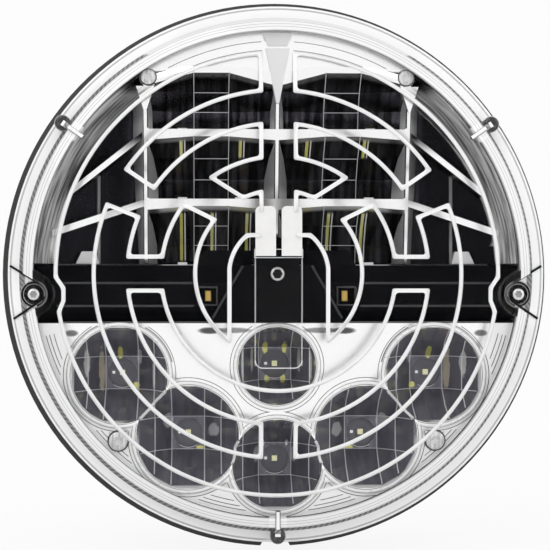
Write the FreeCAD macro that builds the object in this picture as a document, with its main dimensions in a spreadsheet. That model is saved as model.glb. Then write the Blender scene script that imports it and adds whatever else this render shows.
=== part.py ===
import FreeCAD, Part
import Sketcher
import math
import os
from types import SimpleNamespace

# Round LED headlight with a heated lens. +Z is up and the lens faces -Y.
# The origin is the middle of the flange's rear face, where the lamp seats.

V = FreeCAD.Vector
doc = FreeCAD.newDocument("round_headlight")

dimensions = {
    # front frame and rear body
    "flange_dia": 178.0,
    "flange_thick": 4.0,
    "notch_width": 7.6,
    "notch_depth": 2.2,
    "spigot_dia": 156.0,
    "spigot_length": 14.0,
    "ring_rise": 8.0,
    "ring_bore": 149.0,
    "groove_depth": 4.0,
    "shoulder_depth": 11.0,
    "shoulder_bore": 132.0,
    "chamber_depth": 30.0,
    "chamber_bore": 108.0,
    "shell_wall": 3.5,
    "fin_thick": 2.4,
    "fin_pitch": 9.0,
    "fin_count": 15,
    "fin_reach": 14.0,
    "fin_inset": 1.0,
    "pillar_margin": 0.5,
    "lug_length": 7.0,
    "body_seal_inset": 0.6,
    "body_seal_width": 1.0,
    "body_seal_depth": 1.2,
    "pad_width": 44.0,
    "pad_height": 46.0,
    # lens
    "lens_dia": 171.4,
    "drawn_dia": 171.4,
    "lens_rise": 16.0,
    "lens_wall": 2.4,
    "skirt_wall": 2.0,
    "dome_dia": 160.6,
    "dome_step": 7.0,
    "dome_rise": 11.0,
    "tongue_dia": 162.6,
    "tongue_width": 1.4,
    "seal_thick": 1.6,
    "nub_circle": 83.0,
    "nub_dia": 5.0,
    "nub_height": 6.4,
    "nub_rib_width": 1.8,
    "nub_rib_length": 9.0,
    "side_screw_x": 77.4,
    "side_screw_z": -6.5,
    "side_notch_radius": 4.2,
    "side_notch_angle": 31.0,
    "side_boss_radius": 2.6,
    # de-icing traces and their end pads
    "trace_width": 1.3,
    "trace_thick": 0.4,
    "trace_first": 15.5,
    "trace_pitch": 10.6,
    "trace_rim": 70.0,
    "trace_lane": 5.4,
    "trace_link": 5.3,
    "trace_notch_gap": 3.3,
    "jog_half": 5.5,
    "jog_flat": 2.0,
    "hook_angle": 115.0,
    "hook_back_angle": 125.0,
    "step_angle": 145.5,
    "inner_end_angle": 174.0,
    "inner_peak_angle": 140.0,
    "middle_peak_angle": 144.0,
    "outer_peak_angle": 158.0,
    "pad_gap": 1.8,
    "terminal_width": 6.4,
    "terminal_low": 5.5,
    "terminal_high": 21.1,
    "terminal_thick": 1.0,
    "terminal_corner": 1.6,
    "cover_width": 15.0,
    "cover_low": -30.0,
    "cover_high": 7.8,
    "cover_thick": 1.2,
    "cover_corner": 1.8,
    # reflectors
    "reflector_dia": 155.2,
    "reflector_wall": 1.6,
    "reflector_front": 20.0,
    "band_top": 2.8,
    "band_bottom": -15.4,
    "rib_x": 42.0,
    "rib_edge": 1.0,
    "rib_root": 9.0,
    "shelf_thick": 2.2,
    "tier_one": 22.0,
    "tier_two": 44.0,
    "tier_top": 64.0,
    "tier_focus": 5.0,
    "top_spread": 4.0,
    "shelf_spread": 12.0,
    "front_low": 12.0,
    "front_high": 26.0,
    "facet_half": 5.6,
    "cup_lip": 1.7,
    "cup_lip_rise": 0.8,
    "cup_facet": 5.4,
    "cup_hole_dia": 9.2,
    "rib_depth": 16.0,
    "rib_wedge": 5.8,
    "rib_wedge_length": 9.0,
    "shelf_depth": 4.0,
    "rim_back": 2.0,
    "rim_back_dia": 142.6,
    "crown_front": 25.5,
    "crown_step_one": 142.0,
    "crown_step_two": 148.0,
    "crown_drop": 1.6,
    "wing_back": 4.0,
    "wing_rise": 12.0,
    "high_wing_x": 66.0,
    "high_wing_z": 25.0,
    "low_wing_x": 72.0,
    "low_wing_z": 12.0,
    "middle_cup_z": -29.4,
    "middle_cup_dia": 25.0,
    "side_cup_x": 50.2,
    "side_cup_z": -32.3,
    "side_cup_dia": 30.8,
    "low_cup_x": 28.5,
    "low_cup_z": -52.1,
    "low_cup_dia": 33.0,
    "bottom_cup_z": -60.8,
    "bottom_cup_dia": 28.8,
    "boss_radius": 2.9,
    "upper_boss_x": 41.0,
    "upper_boss_z": 62.4,
    "upper_boss_rise": 3.0,
    "lower_boss_x": 50.6,
    "lower_boss_z": -53.2,
    # band between the reflectors
    "band_front": 22.0,
    "band_wall": 2.0,
    "ridge_high": -2.9,
    "ridge_low": -10.2,
    "panel_top": 11.4,
    "panel_bottom": 21.0,
    "panel_rise": 1.2,
    "lip_inner": 8.0,
    "lip_outer": 25.5,
    "lip_height": 4.8,
    "window_x": 22.0,
    "window_z": -7.0,
    "window_width": 5.4,
    "window_height": 5.4,
    "bezel_screw_z": 0.0,
    "contact_z": 10.0,
    "contact_dia": 1.8,
    "contact_gap": 0.6,
    # boards, chips and electronics
    "board_thick": 1.6,
    "chip": 3.0,
    "chip_thick": 0.8,
    "thermal_thick": 0.6,
    "spreader_dia": 144.0,
    "spreader_thick": 3.0,
    "lower_board_front": 3.0,
    "lower_board_dia": 138.0,
    "lower_board_top": -18.0,
    "thermal_inset": 2.0,
    "upper_board_depth": 10.0,
    "upper_chip_pitch": 18.6,
    "chip_inset": 1.2,
    "finger_thick": 2.0,
    "finger_overlap": 6.0,
    "position_board": 9.0,
    "position_board_back": 13.5,
    "driver_dia": 96.0,
    "driver_front": 17.0,
    "standoff_radius": 3.2,
    "standoff_place": 30.0,
    "inductor_dia": 14.0,
    "inductor_height": 8.0,
    "inductor_x": 22.0,
    "capacitor_dia": 8.0,
    "capacitor_height": 9.0,
    # fasteners
    "screw_dia": 2.6,
    "screw_length": 7.0,
    "head_dia": 5.0,
    "head_height": 1.8,
    # rear inlet and vent
    "gasket_thick": 1.0,
    "inlet_width": 34.0,
    "inlet_height": 26.0,
    "inlet_flange": 3.0,
    "inlet_tower": 10.5,
    "inlet_z": 6.0,
    "inlet_spigot_dia": 14.0,
    "blade_width": 8.0,
    "blade_thick": 0.8,
    "blade_length": 11.0,
    "blade_offset": 8.5,
    "blade_rise": 5.0,
    "vent_dia": 9.0,
    "vent_height": 4.0,
    "vent_z": -15.0,
    # clearances
    "fit_gap": 0.3,
    "film_gap": 0.05,
    "dome_clearance": 1.0,
}

sheet = doc.addObject("Spreadsheet::Sheet", "Dims")
for row, (name, number) in enumerate(dimensions.items(), start=1):
    sheet.set(f"A{row}", name)
    sheet.set(f"B{row}", str(number))
    sheet.setAlias(f"B{row}", name)
doc.recompute()


class Size:
    """A number and the sheet expression that gives it."""

    def __init__(self, value, text):
        self.value = float(value)
        self.text = text

    def __add__(self, other):
        other = as_size(other)
        return Size(self.value + other.value, f"({self.text} + {other.text})")

    def __sub__(self, other):
        other = as_size(other)
        return Size(self.value - other.value, f"({self.text} - {other.text})")

    def __mul__(self, other):
        other = as_size(other)
        return Size(self.value * other.value, f"({self.text} * {other.text})")

    def __truediv__(self, other):
        other = as_size(other)
        return Size(self.value / other.value, f"({self.text} / {other.text})")

    def __radd__(self, other):
        return as_size(other) + self

    def __rsub__(self, other):
        return as_size(other) - self

    def __rmul__(self, other):
        return as_size(other) * self

    def __rtruediv__(self, other):
        return as_size(other) / self

    def __neg__(self):
        return 0 - self

    def root(self):
        return Size(math.sqrt(self.value), f"sqrt({self.text})")

    def sine(self):
        return Size(math.sin(math.radians(self.value)), f"sin({self.text})")

    def cosine(self):
        return Size(math.cos(math.radians(self.value)), f"cos({self.text})")


def as_size(item):
    return item if isinstance(item, Size) else Size(item, f"({item})")


d = SimpleNamespace(**{name: Size(sheet.get(name), f"Dims.{name}") for name in dimensions})

# Sizes across the face are drawn for one lens diameter, and follow the lens
across_face = [
    "ring_bore", "spigot_dia", "shoulder_bore", "dome_dia", "tongue_dia", "nub_circle",
    "side_screw_x", "side_screw_z", "trace_first", "trace_pitch", "trace_rim", "trace_lane", "trace_link",
    "terminal_width", "terminal_low", "terminal_high", "cover_width", "cover_low", "cover_high",
    "reflector_dia", "band_top", "band_bottom", "rib_x", "tier_one", "tier_two", "tier_top", "facet_half",
    "rim_back_dia", "crown_step_one", "crown_step_two", "high_wing_x", "high_wing_z", "low_wing_x", "low_wing_z",
    "middle_cup_z", "middle_cup_dia", "side_cup_x", "side_cup_z", "side_cup_dia", "low_cup_x", "low_cup_z",
    "low_cup_dia", "bottom_cup_z", "bottom_cup_dia", "cup_facet", "upper_boss_x", "upper_boss_z",
    "lower_boss_x", "lower_boss_z", "ridge_high", "ridge_low", "panel_top", "panel_bottom", "lip_inner",
    "lip_outer", "window_x", "window_z", "contact_z", "spreader_dia", "lower_board_dia", "lower_board_top",
    "upper_chip_pitch",
]
face_share = d.lens_dia / d.drawn_dia
for name in across_face:
    setattr(d, name, getattr(d, name) * face_share)


def bind(thing, **settings):
    for prop, size in settings.items():
        thing.setExpression(prop, as_size(size).text)


def place(thing, x, y, z):
    for axis, size in zip("xyz", (x, y, z)):
        thing.setExpression(f"Placement.Base.{axis}", as_size(size).text)


def box(name, x, y, z):
    """Block between two limits on each axis."""
    made = doc.addObject("Part::Box", name)
    bind(made, Length=x[1] - x[0], Width=y[1] - y[0], Height=z[1] - z[0])
    place(made, x[0], y[0], z[0])
    return made


def rod(name, radius, x, z, y):
    """Round bar along Y between two depths."""
    made = doc.addObject("Part::Cylinder", name)
    made.Placement = FreeCAD.Placement(V(), FreeCAD.Rotation(V(1, 0, 0), -90))
    bind(made, Radius=radius, Height=y[1] - y[0])
    place(made, x, y[0], z)
    return made


def fuse(name, *things):
    made = doc.addObject("Part::MultiFuse", name)
    made.Shapes = list(things)
    return made


def cut(name, base, *tools):
    made = doc.addObject("Part::Cut", name)
    made.Base = base
    made.Tool = tools[0] if len(tools) == 1 else fuse(f"{name}_tools", *tools)
    return made


def common(name, *things):
    made = doc.addObject("Part::MultiCommon", name)
    made.Shapes = list(things)
    return made


def group(name, *things):
    made = doc.addObject("Part::Compound", name)
    made.Links = list(things)
    return made


def shaped(name, shape):
    made = doc.addObject("Part::Feature", name)
    made.Shape = shape
    return made


def outline(body, name, role, points, arcs=None):
    """Closed sketch through points that are tied to the sheet, some sides being arcs of a given radius."""
    arcs = arcs or {}
    sketch = body.newObject("Sketcher::SketchObject", name)
    support = [item for item in body.Origin.OriginFeatures if item.Role == role][0]
    sketch.AttachmentSupport = [(support, "")]
    sketch.MapMode = "FlatFace"
    points = [(as_size(a), as_size(b)) for a, b in points]
    spots = [V(a.value, b.value, 0) for a, b in points]
    total = len(points)
    starts = []
    for index in range(total):
        first, last = spots[index], spots[(index + 1) % total]
        if index in arcs:
            bulge = arcs[index]
            half = (last - first) * 0.5
            side = V(-half.y, half.x, 0).normalize()
            radius = abs(bulge.value)
            drop = math.sqrt(radius ** 2 - half.Length ** 2)
            turn = 1 if bulge.value > 0 else -1
            middle = first + half + side * (turn * (drop - radius))
            edge = Part.Arc(first, middle, last)
            sketch.addGeometry(edge, False)
            anticlockwise = turn > 0
            starts.append((1, 2) if anticlockwise else (2, 1))
        else:
            sketch.addGeometry(Part.LineSegment(first, last), False)
            starts.append((1, 2))
    for index in range(total):
        after = (index + 1) % total
        joint = Sketcher.Constraint("Coincident", index, starts[index][1], after, starts[after][0])
        sketch.addConstraint(joint)
    for index, (a, b) in enumerate(points):
        for kind, size in (("DistanceX", a), ("DistanceY", b)):
            rule = Sketcher.Constraint(kind, -1, 1, index, starts[index][0], size.value)
            sketch.setExpression(f"Constraints[{sketch.addConstraint(rule)}]", size.text)
    for index, bulge in arcs.items():
        radius = bulge if bulge.value > 0 else -bulge
        rule = Sketcher.Constraint("Radius", index, radius.value)
        sketch.setExpression(f"Constraints[{sketch.addConstraint(rule)}]", radius.text)
    return sketch


def turned(name, points, arcs=None):
    """Solid of revolution about Y, its section given as radius and depth."""
    body = doc.addObject("PartDesign::Body", name)
    sketch = outline(body, f"{name}_section", "XY_Plane", points, arcs)
    spin = body.newObject("PartDesign::Revolution", f"{name}_turn")
    spin.Profile = sketch
    spin.ReferenceAxis = (sketch, ["V_Axis"])
    spin.Angle = 360
    return body


def plate(name, points, y, arcs=None):
    """Plate cut to an outline in X and Z, between two depths."""
    body = doc.addObject("PartDesign::Body", name)
    sketch = outline(body, f"{name}_outline", "XZ_Plane", points, arcs)
    sketch.setExpression("AttachmentOffset.Base.z", (-as_size(y[1])).text)
    pad = body.newObject("PartDesign::Pad", f"{name}_pad")
    pad.Profile = sketch
    bind(pad, Length=as_size(y[1]) - y[0])
    return body


def bar(name, points, x):
    """Bar along X with a section in Y and Z, between two limits."""
    body = doc.addObject("PartDesign::Body", name)
    sketch = outline(body, f"{name}_section", "YZ_Plane", points)
    sketch.setExpression("AttachmentOffset.Base.z", as_size(x[0]).text)
    pad = body.newObject("PartDesign::Pad", f"{name}_pad")
    pad.Profile = sketch
    bind(pad, Length=as_size(x[1]) - x[0])
    return body


def screw(name, x, z, seat, length=None):
    """Pan head screw along Y whose head sits in front of its seat."""
    length = length or d.screw_length
    head = rod(f"{name}_head", d.head_dia / 2, x, z, (seat - d.head_height, seat))
    socket = rod(f"{name}_socket", d.head_dia / 4, x, z, (seat - d.head_height, seat - d.head_height / 2))
    shank = rod(f"{name}_shank", d.screw_dia / 2, x, z, (seat, seat + length))
    return fuse(name, cut(f"{name}_cap", head, socket), shank)


# Depths along Y that several pieces share
flange_front = -d.flange_thick
lens_front = flange_front - d.lens_rise
dome_edge = lens_front - d.dome_step
crown = dome_edge - d.dome_rise
lens_under = lens_front + d.lens_wall
ring_front = flange_front - d.ring_rise
groove_floor = ring_front + d.groove_depth
reflector_face = -d.reflector_front
shell_back = d.chamber_depth + d.shell_wall
far = d.flange_dia

# Radii that several pieces share
lens_radius = d.lens_dia / 2
dome_radius = d.dome_dia / 2
dome_inner = dome_radius - d.lens_wall
skirt_inner = lens_radius - d.skirt_wall
ring_radius = skirt_inner - d.fit_gap
tongue_out = d.tongue_dia / 2 + d.tongue_width / 2
tongue_in = d.tongue_dia / 2 - d.tongue_width / 2
groove_out = tongue_out + d.fit_gap
groove_in = tongue_in - d.fit_gap
reflector_radius = d.reflector_dia / 2
sphere = (dome_radius * dome_radius + d.dome_rise * d.dome_rise) / (2 * d.dome_rise)
sphere_center = crown + sphere


# Clear lens: domed window on a step wall, flange with three aiming nubs, skirt, sealing tongue
# and a V notch each side that leaves room for a screw head.
inner_sphere = sphere - d.lens_wall
inner_edge = sphere_center - (inner_sphere * inner_sphere - dome_inner * dome_inner).root()
tongue_end = groove_floor - d.seal_thick

lens_outside = turned(
    "lens_outside",
    [
        (0, crown),
        (dome_radius, dome_edge),
        (dome_radius, lens_front),
        (lens_radius, lens_front),
        (lens_radius, flange_front),
        (0, flange_front),
    ],
    {0: sphere},
)
lens_inside = turned(
    "lens_inside",
    [
        (0, crown + d.lens_wall),
        (dome_inner, inner_edge),
        (dome_inner, lens_under),
        (tongue_in, lens_under),
        (tongue_in, tongue_end),
        (tongue_out, tongue_end),
        (tongue_out, lens_under),
        (skirt_inner, lens_under),
        (skirt_inner, d.flange_thick),
        (0, d.flange_thick),
    ],
    {0: inner_sphere},
)


def side_notch(name, side, margin, floor):
    """V shaped column with a round tip about a side screw, from in front of the dome back to a floor."""
    tip = d.side_notch_radius + margin
    lean = d.side_notch_angle
    back = d.side_screw_x - tip * lean.sine()
    rise = tip * lean.cosine()
    reach = d.flange_dia / 2
    wide = rise + (reach - back) * (lean.sine() / lean.cosine())
    points = [
        (side * back, d.side_screw_z + rise),
        (side * back, d.side_screw_z - rise),
        (side * reach, d.side_screw_z - wide),
        (side * reach, d.side_screw_z + wide),
    ]
    return plate(name, points, (crown - d.dome_rise, floor), {0: side * tip})


sides = {"left": -1, "right": 1}
notches = [side_notch(f"notch_{name}", side, as_size(0), lens_front) for name, side in sides.items()]
notch_walls = [
    side_notch(f"notch_wall_{name}", side, d.lens_wall, lens_under)
    for name, side in sides.items()
]

nubs = []
for name, angle in {"left": 145, "right": 35, "bottom": 270}.items():
    turn = math.radians(angle)
    across, up = math.cos(turn), math.sin(turn)
    head = rod(f"nub_{name}_head", d.nub_dia / 2, d.nub_circle * across, d.nub_circle * up,
               (lens_front - d.nub_height, lens_front))
    rib = doc.addObject("Part::Box", f"nub_{name}_rib")
    bind(rib, Length=d.nub_rib_length, Width=d.dome_step + d.nub_rib_width / 2, Height=d.nub_rib_width)
    rib.Placement = FreeCAD.Placement(V(), FreeCAD.Rotation(V(0, 1, 0), -angle))
    start = d.nub_circle - d.nub_rib_length
    half = d.nub_rib_width / 2
    place(rib, start * across + half * up, dome_edge - half, start * up - half * across)
    nubs += [head, rib]

lens_holes = [
    rod(f"lens_hole_{name}", d.screw_dia / 2 + d.fit_gap / 2, side * d.side_screw_x, d.side_screw_z,
        (lens_front - d.fit_gap, lens_under + d.fit_gap))
    for name, side in sides.items()
]
lens_solid = fuse("lens_solid", cut("lens_notched", lens_outside, *notches), *nubs)
lens_hollow = cut("lens_hollow", lens_inside, *notch_walls)
outer_lens = cut("outer_lens", lens_solid, lens_hollow, *lens_holes)

lens_screws = group(
    "lens_screws",
    *[screw(f"lens_screw_{name}", side * d.side_screw_x, d.side_screw_z, lens_front)
      for name, side in sides.items()],
)

# Dark bead that the lens tongue presses into
lens_seal = turned(
    "lens_seal",
    [
        (groove_in + d.fit_gap / 2, tongue_end),
        (groove_out - d.fit_gap / 2, tongue_end),
        (groove_out - d.fit_gap / 2, groove_floor),
        (groove_in + d.fit_gap / 2, groove_floor),
    ],
)


# Two castings: the front frame with lens ring and seating flange, and the rear body with spigot,
# electronics chamber and cooling fins. A seal lies between them.
flange_radius = d.flange_dia / 2
spigot_radius = d.spigot_dia / 2
bore_radius = d.ring_bore / 2
shoulder_radius = d.shoulder_bore / 2
chamber_radius = d.chamber_bore / 2
fin_back = shell_back + d.fin_reach
body_seal_out = spigot_radius - d.body_seal_inset
body_seal_in = body_seal_out - d.body_seal_width

frame_shell = turned(
    "frame_shell",
    [
        (bore_radius, ring_front),
        (groove_in, ring_front),
        (groove_in, groove_floor),
        (groove_out, groove_floor),
        (groove_out, ring_front),
        (ring_radius, ring_front),
        (ring_radius, flange_front),
        (flange_radius, flange_front),
        (flange_radius, 0),
        (bore_radius, 0),
    ],
)
body_shell = turned(
    "body_shell",
    [
        (bore_radius, 0),
        (spigot_radius, 0),
        (spigot_radius, d.spigot_length),
        (shoulder_radius + d.shell_wall, d.spigot_length + d.shell_wall),
        (chamber_radius + d.shell_wall, shell_back),
        (0, shell_back),
        (0, d.chamber_depth),
        (chamber_radius, d.chamber_depth),
        (shoulder_radius, d.shoulder_depth),
        (bore_radius, d.shoulder_depth),
    ],
)
fin_envelope = turned(
    "fin_envelope",
    [
        (0, d.spigot_length),
        (spigot_radius - d.fin_inset, d.spigot_length),
        (spigot_radius - d.fin_inset, d.chamber_depth),
        (chamber_radius + d.shell_wall, fin_back),
        (0, fin_back),
    ],
)
fin_plates = []
for index in range(int(d.fin_count.value)):
    middle = d.fin_pitch * (index - (d.fin_count.value - 1) / 2)
    thick = (middle - d.fin_thick / 2, middle + d.fin_thick / 2)
    span = (-spigot_radius, spigot_radius)
    fin_plates.append(box(f"fin_{index + 1}", thick, (d.spigot_length, fin_back), span))
chamber_core = turned(
    "chamber_core",
    [
        (0, d.shoulder_depth),
        (shoulder_radius, d.shoulder_depth),
        (chamber_radius, d.chamber_depth),
        (0, d.chamber_depth),
    ],
)
rear_pad = box("rear_pad", (-d.pad_width / 2, d.pad_width / 2), (shell_back, fin_back + d.fin_reach),
               (-d.pad_height / 2, d.pad_height / 2))
fins = cut("fins", common("fins_trimmed", fuse("fin_row", *fin_plates), fin_envelope), chamber_core, rear_pad)

side_bosses = [
    rod(f"side_boss_{name}", d.side_boss_radius, side * d.side_screw_x, d.side_screw_z,
        (lens_under, ring_front + d.groove_depth / 2))
    for name, side in sides.items()
]
reflector_places = {
    "upper_left": (-d.upper_boss_x, d.upper_boss_z),
    "upper_right": (d.upper_boss_x, d.upper_boss_z),
    "lower_left": (-d.lower_boss_x, d.lower_boss_z),
    "lower_right": (d.lower_boss_x, d.lower_boss_z),
}
pillar_radius = d.boss_radius + d.pillar_margin
pillars = [
    rod(f"pillar_{name}", pillar_radius, x, z, (ring_front, as_size(0)))
    for name, (x, z) in reflector_places.items()
]
lugs = [
    rod(f"lug_{name}", d.boss_radius, x, z, (as_size(0), d.lug_length))
    for name, (x, z) in reflector_places.items()
]
driver_back = d.driver_front + d.board_thick
corners = [(a, b) for a in (-1, 1) for b in (-1, 1)]
standoffs = [
    rod(f"standoff_{index}", d.standoff_radius, a * d.standoff_place, b * d.standoff_place,
        (driver_back, d.chamber_depth + d.shell_wall / 2))
    for index, (a, b) in enumerate(corners, start=1)
]
upper_seat = reflector_face - d.upper_boss_rise
reflector_seats = {name: upper_seat if "upper" in name else reflector_face for name in reflector_places}
screw_tip = d.lug_length - d.fit_gap * 3
bore = d.screw_dia / 2 + d.fit_gap / 2
frame_bores = [
    rod(f"pillar_bore_{name}", bore, x, z, (ring_front - d.fit_gap, d.fit_gap))
    for name, (x, z) in reflector_places.items()
]
frame_bores += [
    rod(f"side_bore_{name}", bore, side * d.side_screw_x, d.side_screw_z,
        (lens_under - d.fit_gap, lens_front + d.screw_length + d.fit_gap))
    for name, side in sides.items()
]
body_bores = [
    rod(f"lug_bore_{name}", bore, x, z, (-d.fit_gap, screw_tip + d.fit_gap))
    for name, (x, z) in reflector_places.items()
]
body_bores += [
    rod(f"standoff_bore_{index}", bore, a * d.standoff_place, b * d.standoff_place,
        (driver_back - d.fit_gap, d.driver_front + d.screw_length + d.fit_gap))
    for index, (a, b) in enumerate(corners, start=1)
]
spreader_angles = {"top": 90, "low_left": 190, "low_right": 350}
spreader_circle = (d.spreader_dia + d.shoulder_bore) / 4
spreader_places = {
    name: (spreader_circle * math.cos(math.radians(angle)), spreader_circle * math.sin(math.radians(angle)))
    for name, angle in spreader_angles.items()
}
spreader_front = d.shoulder_depth - d.spreader_thick
body_bores += [
    rod(f"spreader_bore_{name}", bore, x, z,
        (d.shoulder_depth - d.fit_gap, spreader_front + d.screw_length + d.fit_gap))
    for name, (x, z) in spreader_places.items()
]
flange_notch = plate(
    "flange_notch",
    [
        (-d.notch_width / 2, d.notch_depth - flange_radius),
        (-d.notch_width / 2 - d.notch_depth, -flange_radius - d.notch_depth),
        (d.notch_width / 2 + d.notch_depth, -flange_radius - d.notch_depth),
        (d.notch_width / 2, d.notch_depth - flange_radius),
    ],
    (flange_front - d.fit_gap, d.fit_gap),
)
inlet_hole = rod("inlet_hole", d.inlet_spigot_dia / 2 + d.fit_gap, 0, d.inlet_z,
                 (d.chamber_depth - d.fit_gap, shell_back + d.fit_gap))
vent_hole = rod("vent_hole", d.vent_dia / 4 + d.fit_gap, 0, d.vent_z,
                (d.chamber_depth - d.fit_gap, shell_back + d.fit_gap))
frame_solid = fuse("frame_solid", frame_shell, *side_bosses, *pillars)
front_frame = cut("front_frame", frame_solid, flange_notch, *frame_bores)
body_solid = fuse("body_solid", body_shell, fins, *lugs, *standoffs)
body_seal = turned(
    "body_seal",
    [
        (body_seal_in, 0),
        (body_seal_out, 0),
        (body_seal_out, d.body_seal_depth),
        (body_seal_in, d.body_seal_depth),
    ],
)
rear_body = cut("rear_body", body_solid, body_seal, inlet_hole, vent_hole, *body_bores)


# De-icing traces and their end pads, printed in layers against the inside of the dome
def layer(name, near, thick):
    """Part of a spherical skin, a given distance behind the dome's inner face."""
    balls = []
    for label, inset in (("front", near), ("back", near + thick)):
        ball = doc.addObject("Part::Sphere", f"{name}_{label}")
        bind(ball, Radius=inner_sphere - inset)
        place(ball, 0, sphere_center, 0)
        balls.append(ball)
    return cut(name, *balls)


class Trace:
    """Flat band of a printed trace: straight runs and arcs about the lens axis, with round joins."""

    def __init__(self, x, z):
        self.half = d.trace_width.value / 2
        self.spot = V(x, 0, z)
        self.faces = [self.disc()]

    def disc(self):
        return Part.Face(Part.Wire(Part.makeCircle(self.half, self.spot, V(0, 1, 0))))

    def line(self, x, z):
        first, last = self.spot, V(x, 0, z)
        side = (last - first).cross(V(0, 1, 0)).normalize() * self.half
        corners = [first + side, last + side, last - side, first - side]
        self.faces.append(Part.Face(Part.makePolygon(corners + corners[:1])))
        self.spot = last
        self.faces.append(self.disc())

    def polar(self, radius, angle):
        turn = math.radians(angle)
        self.line(radius * math.cos(turn), radius * math.sin(turn))

    def lane(self, radius, up=1):
        """Straight along Z to the ring of a given radius."""
        self.line(self.spot.x, up * math.sqrt(radius ** 2 - self.spot.x ** 2))

    def link(self, radius):
        """Straight along X to the ring of a given radius, on the left side."""
        self.line(-math.sqrt(radius ** 2 - self.spot.z ** 2), self.spot.z)

    def sweep(self, angle):
        """Along the ring that the trace is on, to a given angle."""
        first = math.degrees(math.atan2(self.spot.z, self.spot.x)) % 360
        turns = [math.radians(first + (angle - first) * share) for share in (0, 0.5, 1)]
        ways = [V(math.cos(turn), 0, math.sin(turn)) for turn in turns]
        radius = self.spot.Length
        near, wide = radius - self.half, radius + self.half
        arcs = [Part.Arc(*[way * reach for way in ways]) for reach in (near, wide)]
        ends = [Part.makeLine(way * near, way * wide) for way in (ways[0], ways[2])]
        edges = [arcs[0].toShape(), ends[1], arcs[1].toShape(), ends[0]]
        self.faces.append(Part.Face(Part.Wire(Part.__sortEdges__(edges))))
        self.spot = ways[2] * radius
        self.faces.append(self.disc())

    def prism(self, depth):
        """Block of the whole trace, the left half and its mirror image."""
        twins = [face.mirror(V(), V(1, 0, 0)) for face in self.faces]
        level = [face if face.normalAt(0, 0).y > 0 else face.reversed() for face in self.faces + twins]
        band = level[0].multiFuse(level[1:]).removeSplitter()
        return band.Faces[0].extrude(V(0, depth, 0))


def lane_angle(radius, x, up=1):
    return math.degrees(math.acos(x / radius)) if up > 0 else 360 - math.degrees(math.acos(x / radius))


rings = [(d.trace_first + d.trace_pitch * step).value for step in range(5)]
rim = d.trace_rim.value
lane_x = -d.trace_lane.value
link_z = d.trace_link.value
notch_z = d.side_screw_z.value
jog_x = (d.trace_notch_gap + d.lens_wall + d.side_notch_radius - d.side_screw_x).value
pad_inner = d.pad_gap / 2
pad_outer = pad_inner + d.terminal_width

outer_path = Trace(lane_x, d.terminal_high.value - d.trace_width.value)
outer_path.lane(rings[1])
outer_path.sweep(d.hook_angle.value)
outer_path.polar(rings[2], d.hook_back_angle.value)
outer_path.sweep(lane_angle(rings[2], lane_x))
outer_path.lane(rings[3])
outer_path.sweep(d.step_angle.value)
outer_path.polar(rings[4], d.step_angle.value)
outer_path.sweep(lane_angle(rings[4], lane_x))
outer_path.lane(rim)
outer_path.sweep(180 - math.degrees(math.asin((notch_z + d.jog_half.value) / rim)))
outer_path.line(jog_x, notch_z + d.jog_flat.value)
outer_path.line(jog_x, notch_z - d.jog_flat.value)
outer_path.polar(rim, 180 - math.degrees(math.asin((notch_z - d.jog_half.value) / rim)))
outer_path.sweep(270)

side_z = (d.terminal_low.value + d.terminal_high.value) / 2 - d.trace_width.value
inner_path = Trace(d.trace_width.value - pad_outer.value, side_z)
inner_path.link(rings[0])
inner_path.sweep(d.inner_end_angle.value)
inner_path.lane(rings[1], up=-1)
inner_path.sweep(d.inner_peak_angle.value)
inner_path.polar(rings[2], d.middle_peak_angle.value)
inner_path.sweep(180 - math.degrees(math.asin(link_z / rings[2])))
inner_path.link(rings[3])
inner_path.sweep(d.outer_peak_angle.value)
inner_path.polar(rings[4], d.outer_peak_angle.value)
inner_path.sweep(lane_angle(rings[4], lane_x, up=-1))
inner_path.lane(rings[3], up=-1)
inner_path.sweep(180 + math.degrees(math.asin(link_z / rings[3])))
inner_path.link(rings[2])
inner_path.sweep(270)

trace_film = layer("trace_film", d.film_gap, d.trace_thick)
circuits = []
for name, path in {"outer": outer_path, "inner": inner_path}.items():
    prism = shaped(f"trace_prism_{name}", path.prism(crown.value))
    circuits.append(common(f"heater_circuit_{name}", prism, trace_film))

terminal_film = layer("terminal_film", d.film_gap * 2 + d.trace_thick, d.terminal_thick)
terminals = []
for name, side in sides.items():
    points = [
        (side * pad_inner, d.terminal_low),
        (side * pad_outer, d.terminal_low),
        (side * pad_outer, d.terminal_high - d.terminal_corner),
        (side * (pad_outer - d.terminal_corner), d.terminal_high),
        (side * (pad_inner + d.terminal_corner), d.terminal_high),
        (side * pad_inner, d.terminal_high - d.terminal_corner),
    ]
    corner = side * d.terminal_corner
    block = plate(f"terminal_block_{name}", points, (crown, as_size(0)), {2: corner, 4: corner})
    terminals.append(common(f"terminal_pad_{name}", block, terminal_film))

cover_film = layer("cover_film", d.film_gap * 3 + d.trace_thick + d.terminal_thick, d.cover_thick)
cover_half = d.cover_width / 2
cover_block = plate(
    "cover_block",
    [
        (-cover_half, d.cover_high),
        (-cover_half, d.cover_low + d.cover_corner),
        (d.cover_corner - cover_half, d.cover_low),
        (cover_half - d.cover_corner, d.cover_low),
        (cover_half, d.cover_low + d.cover_corner),
        (cover_half, d.cover_high),
    ],
    (crown, as_size(0)),
    {1: d.cover_corner, 3: d.cover_corner},
)
terminal_cover = common("terminal_cover", cover_block, cover_film)


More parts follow.
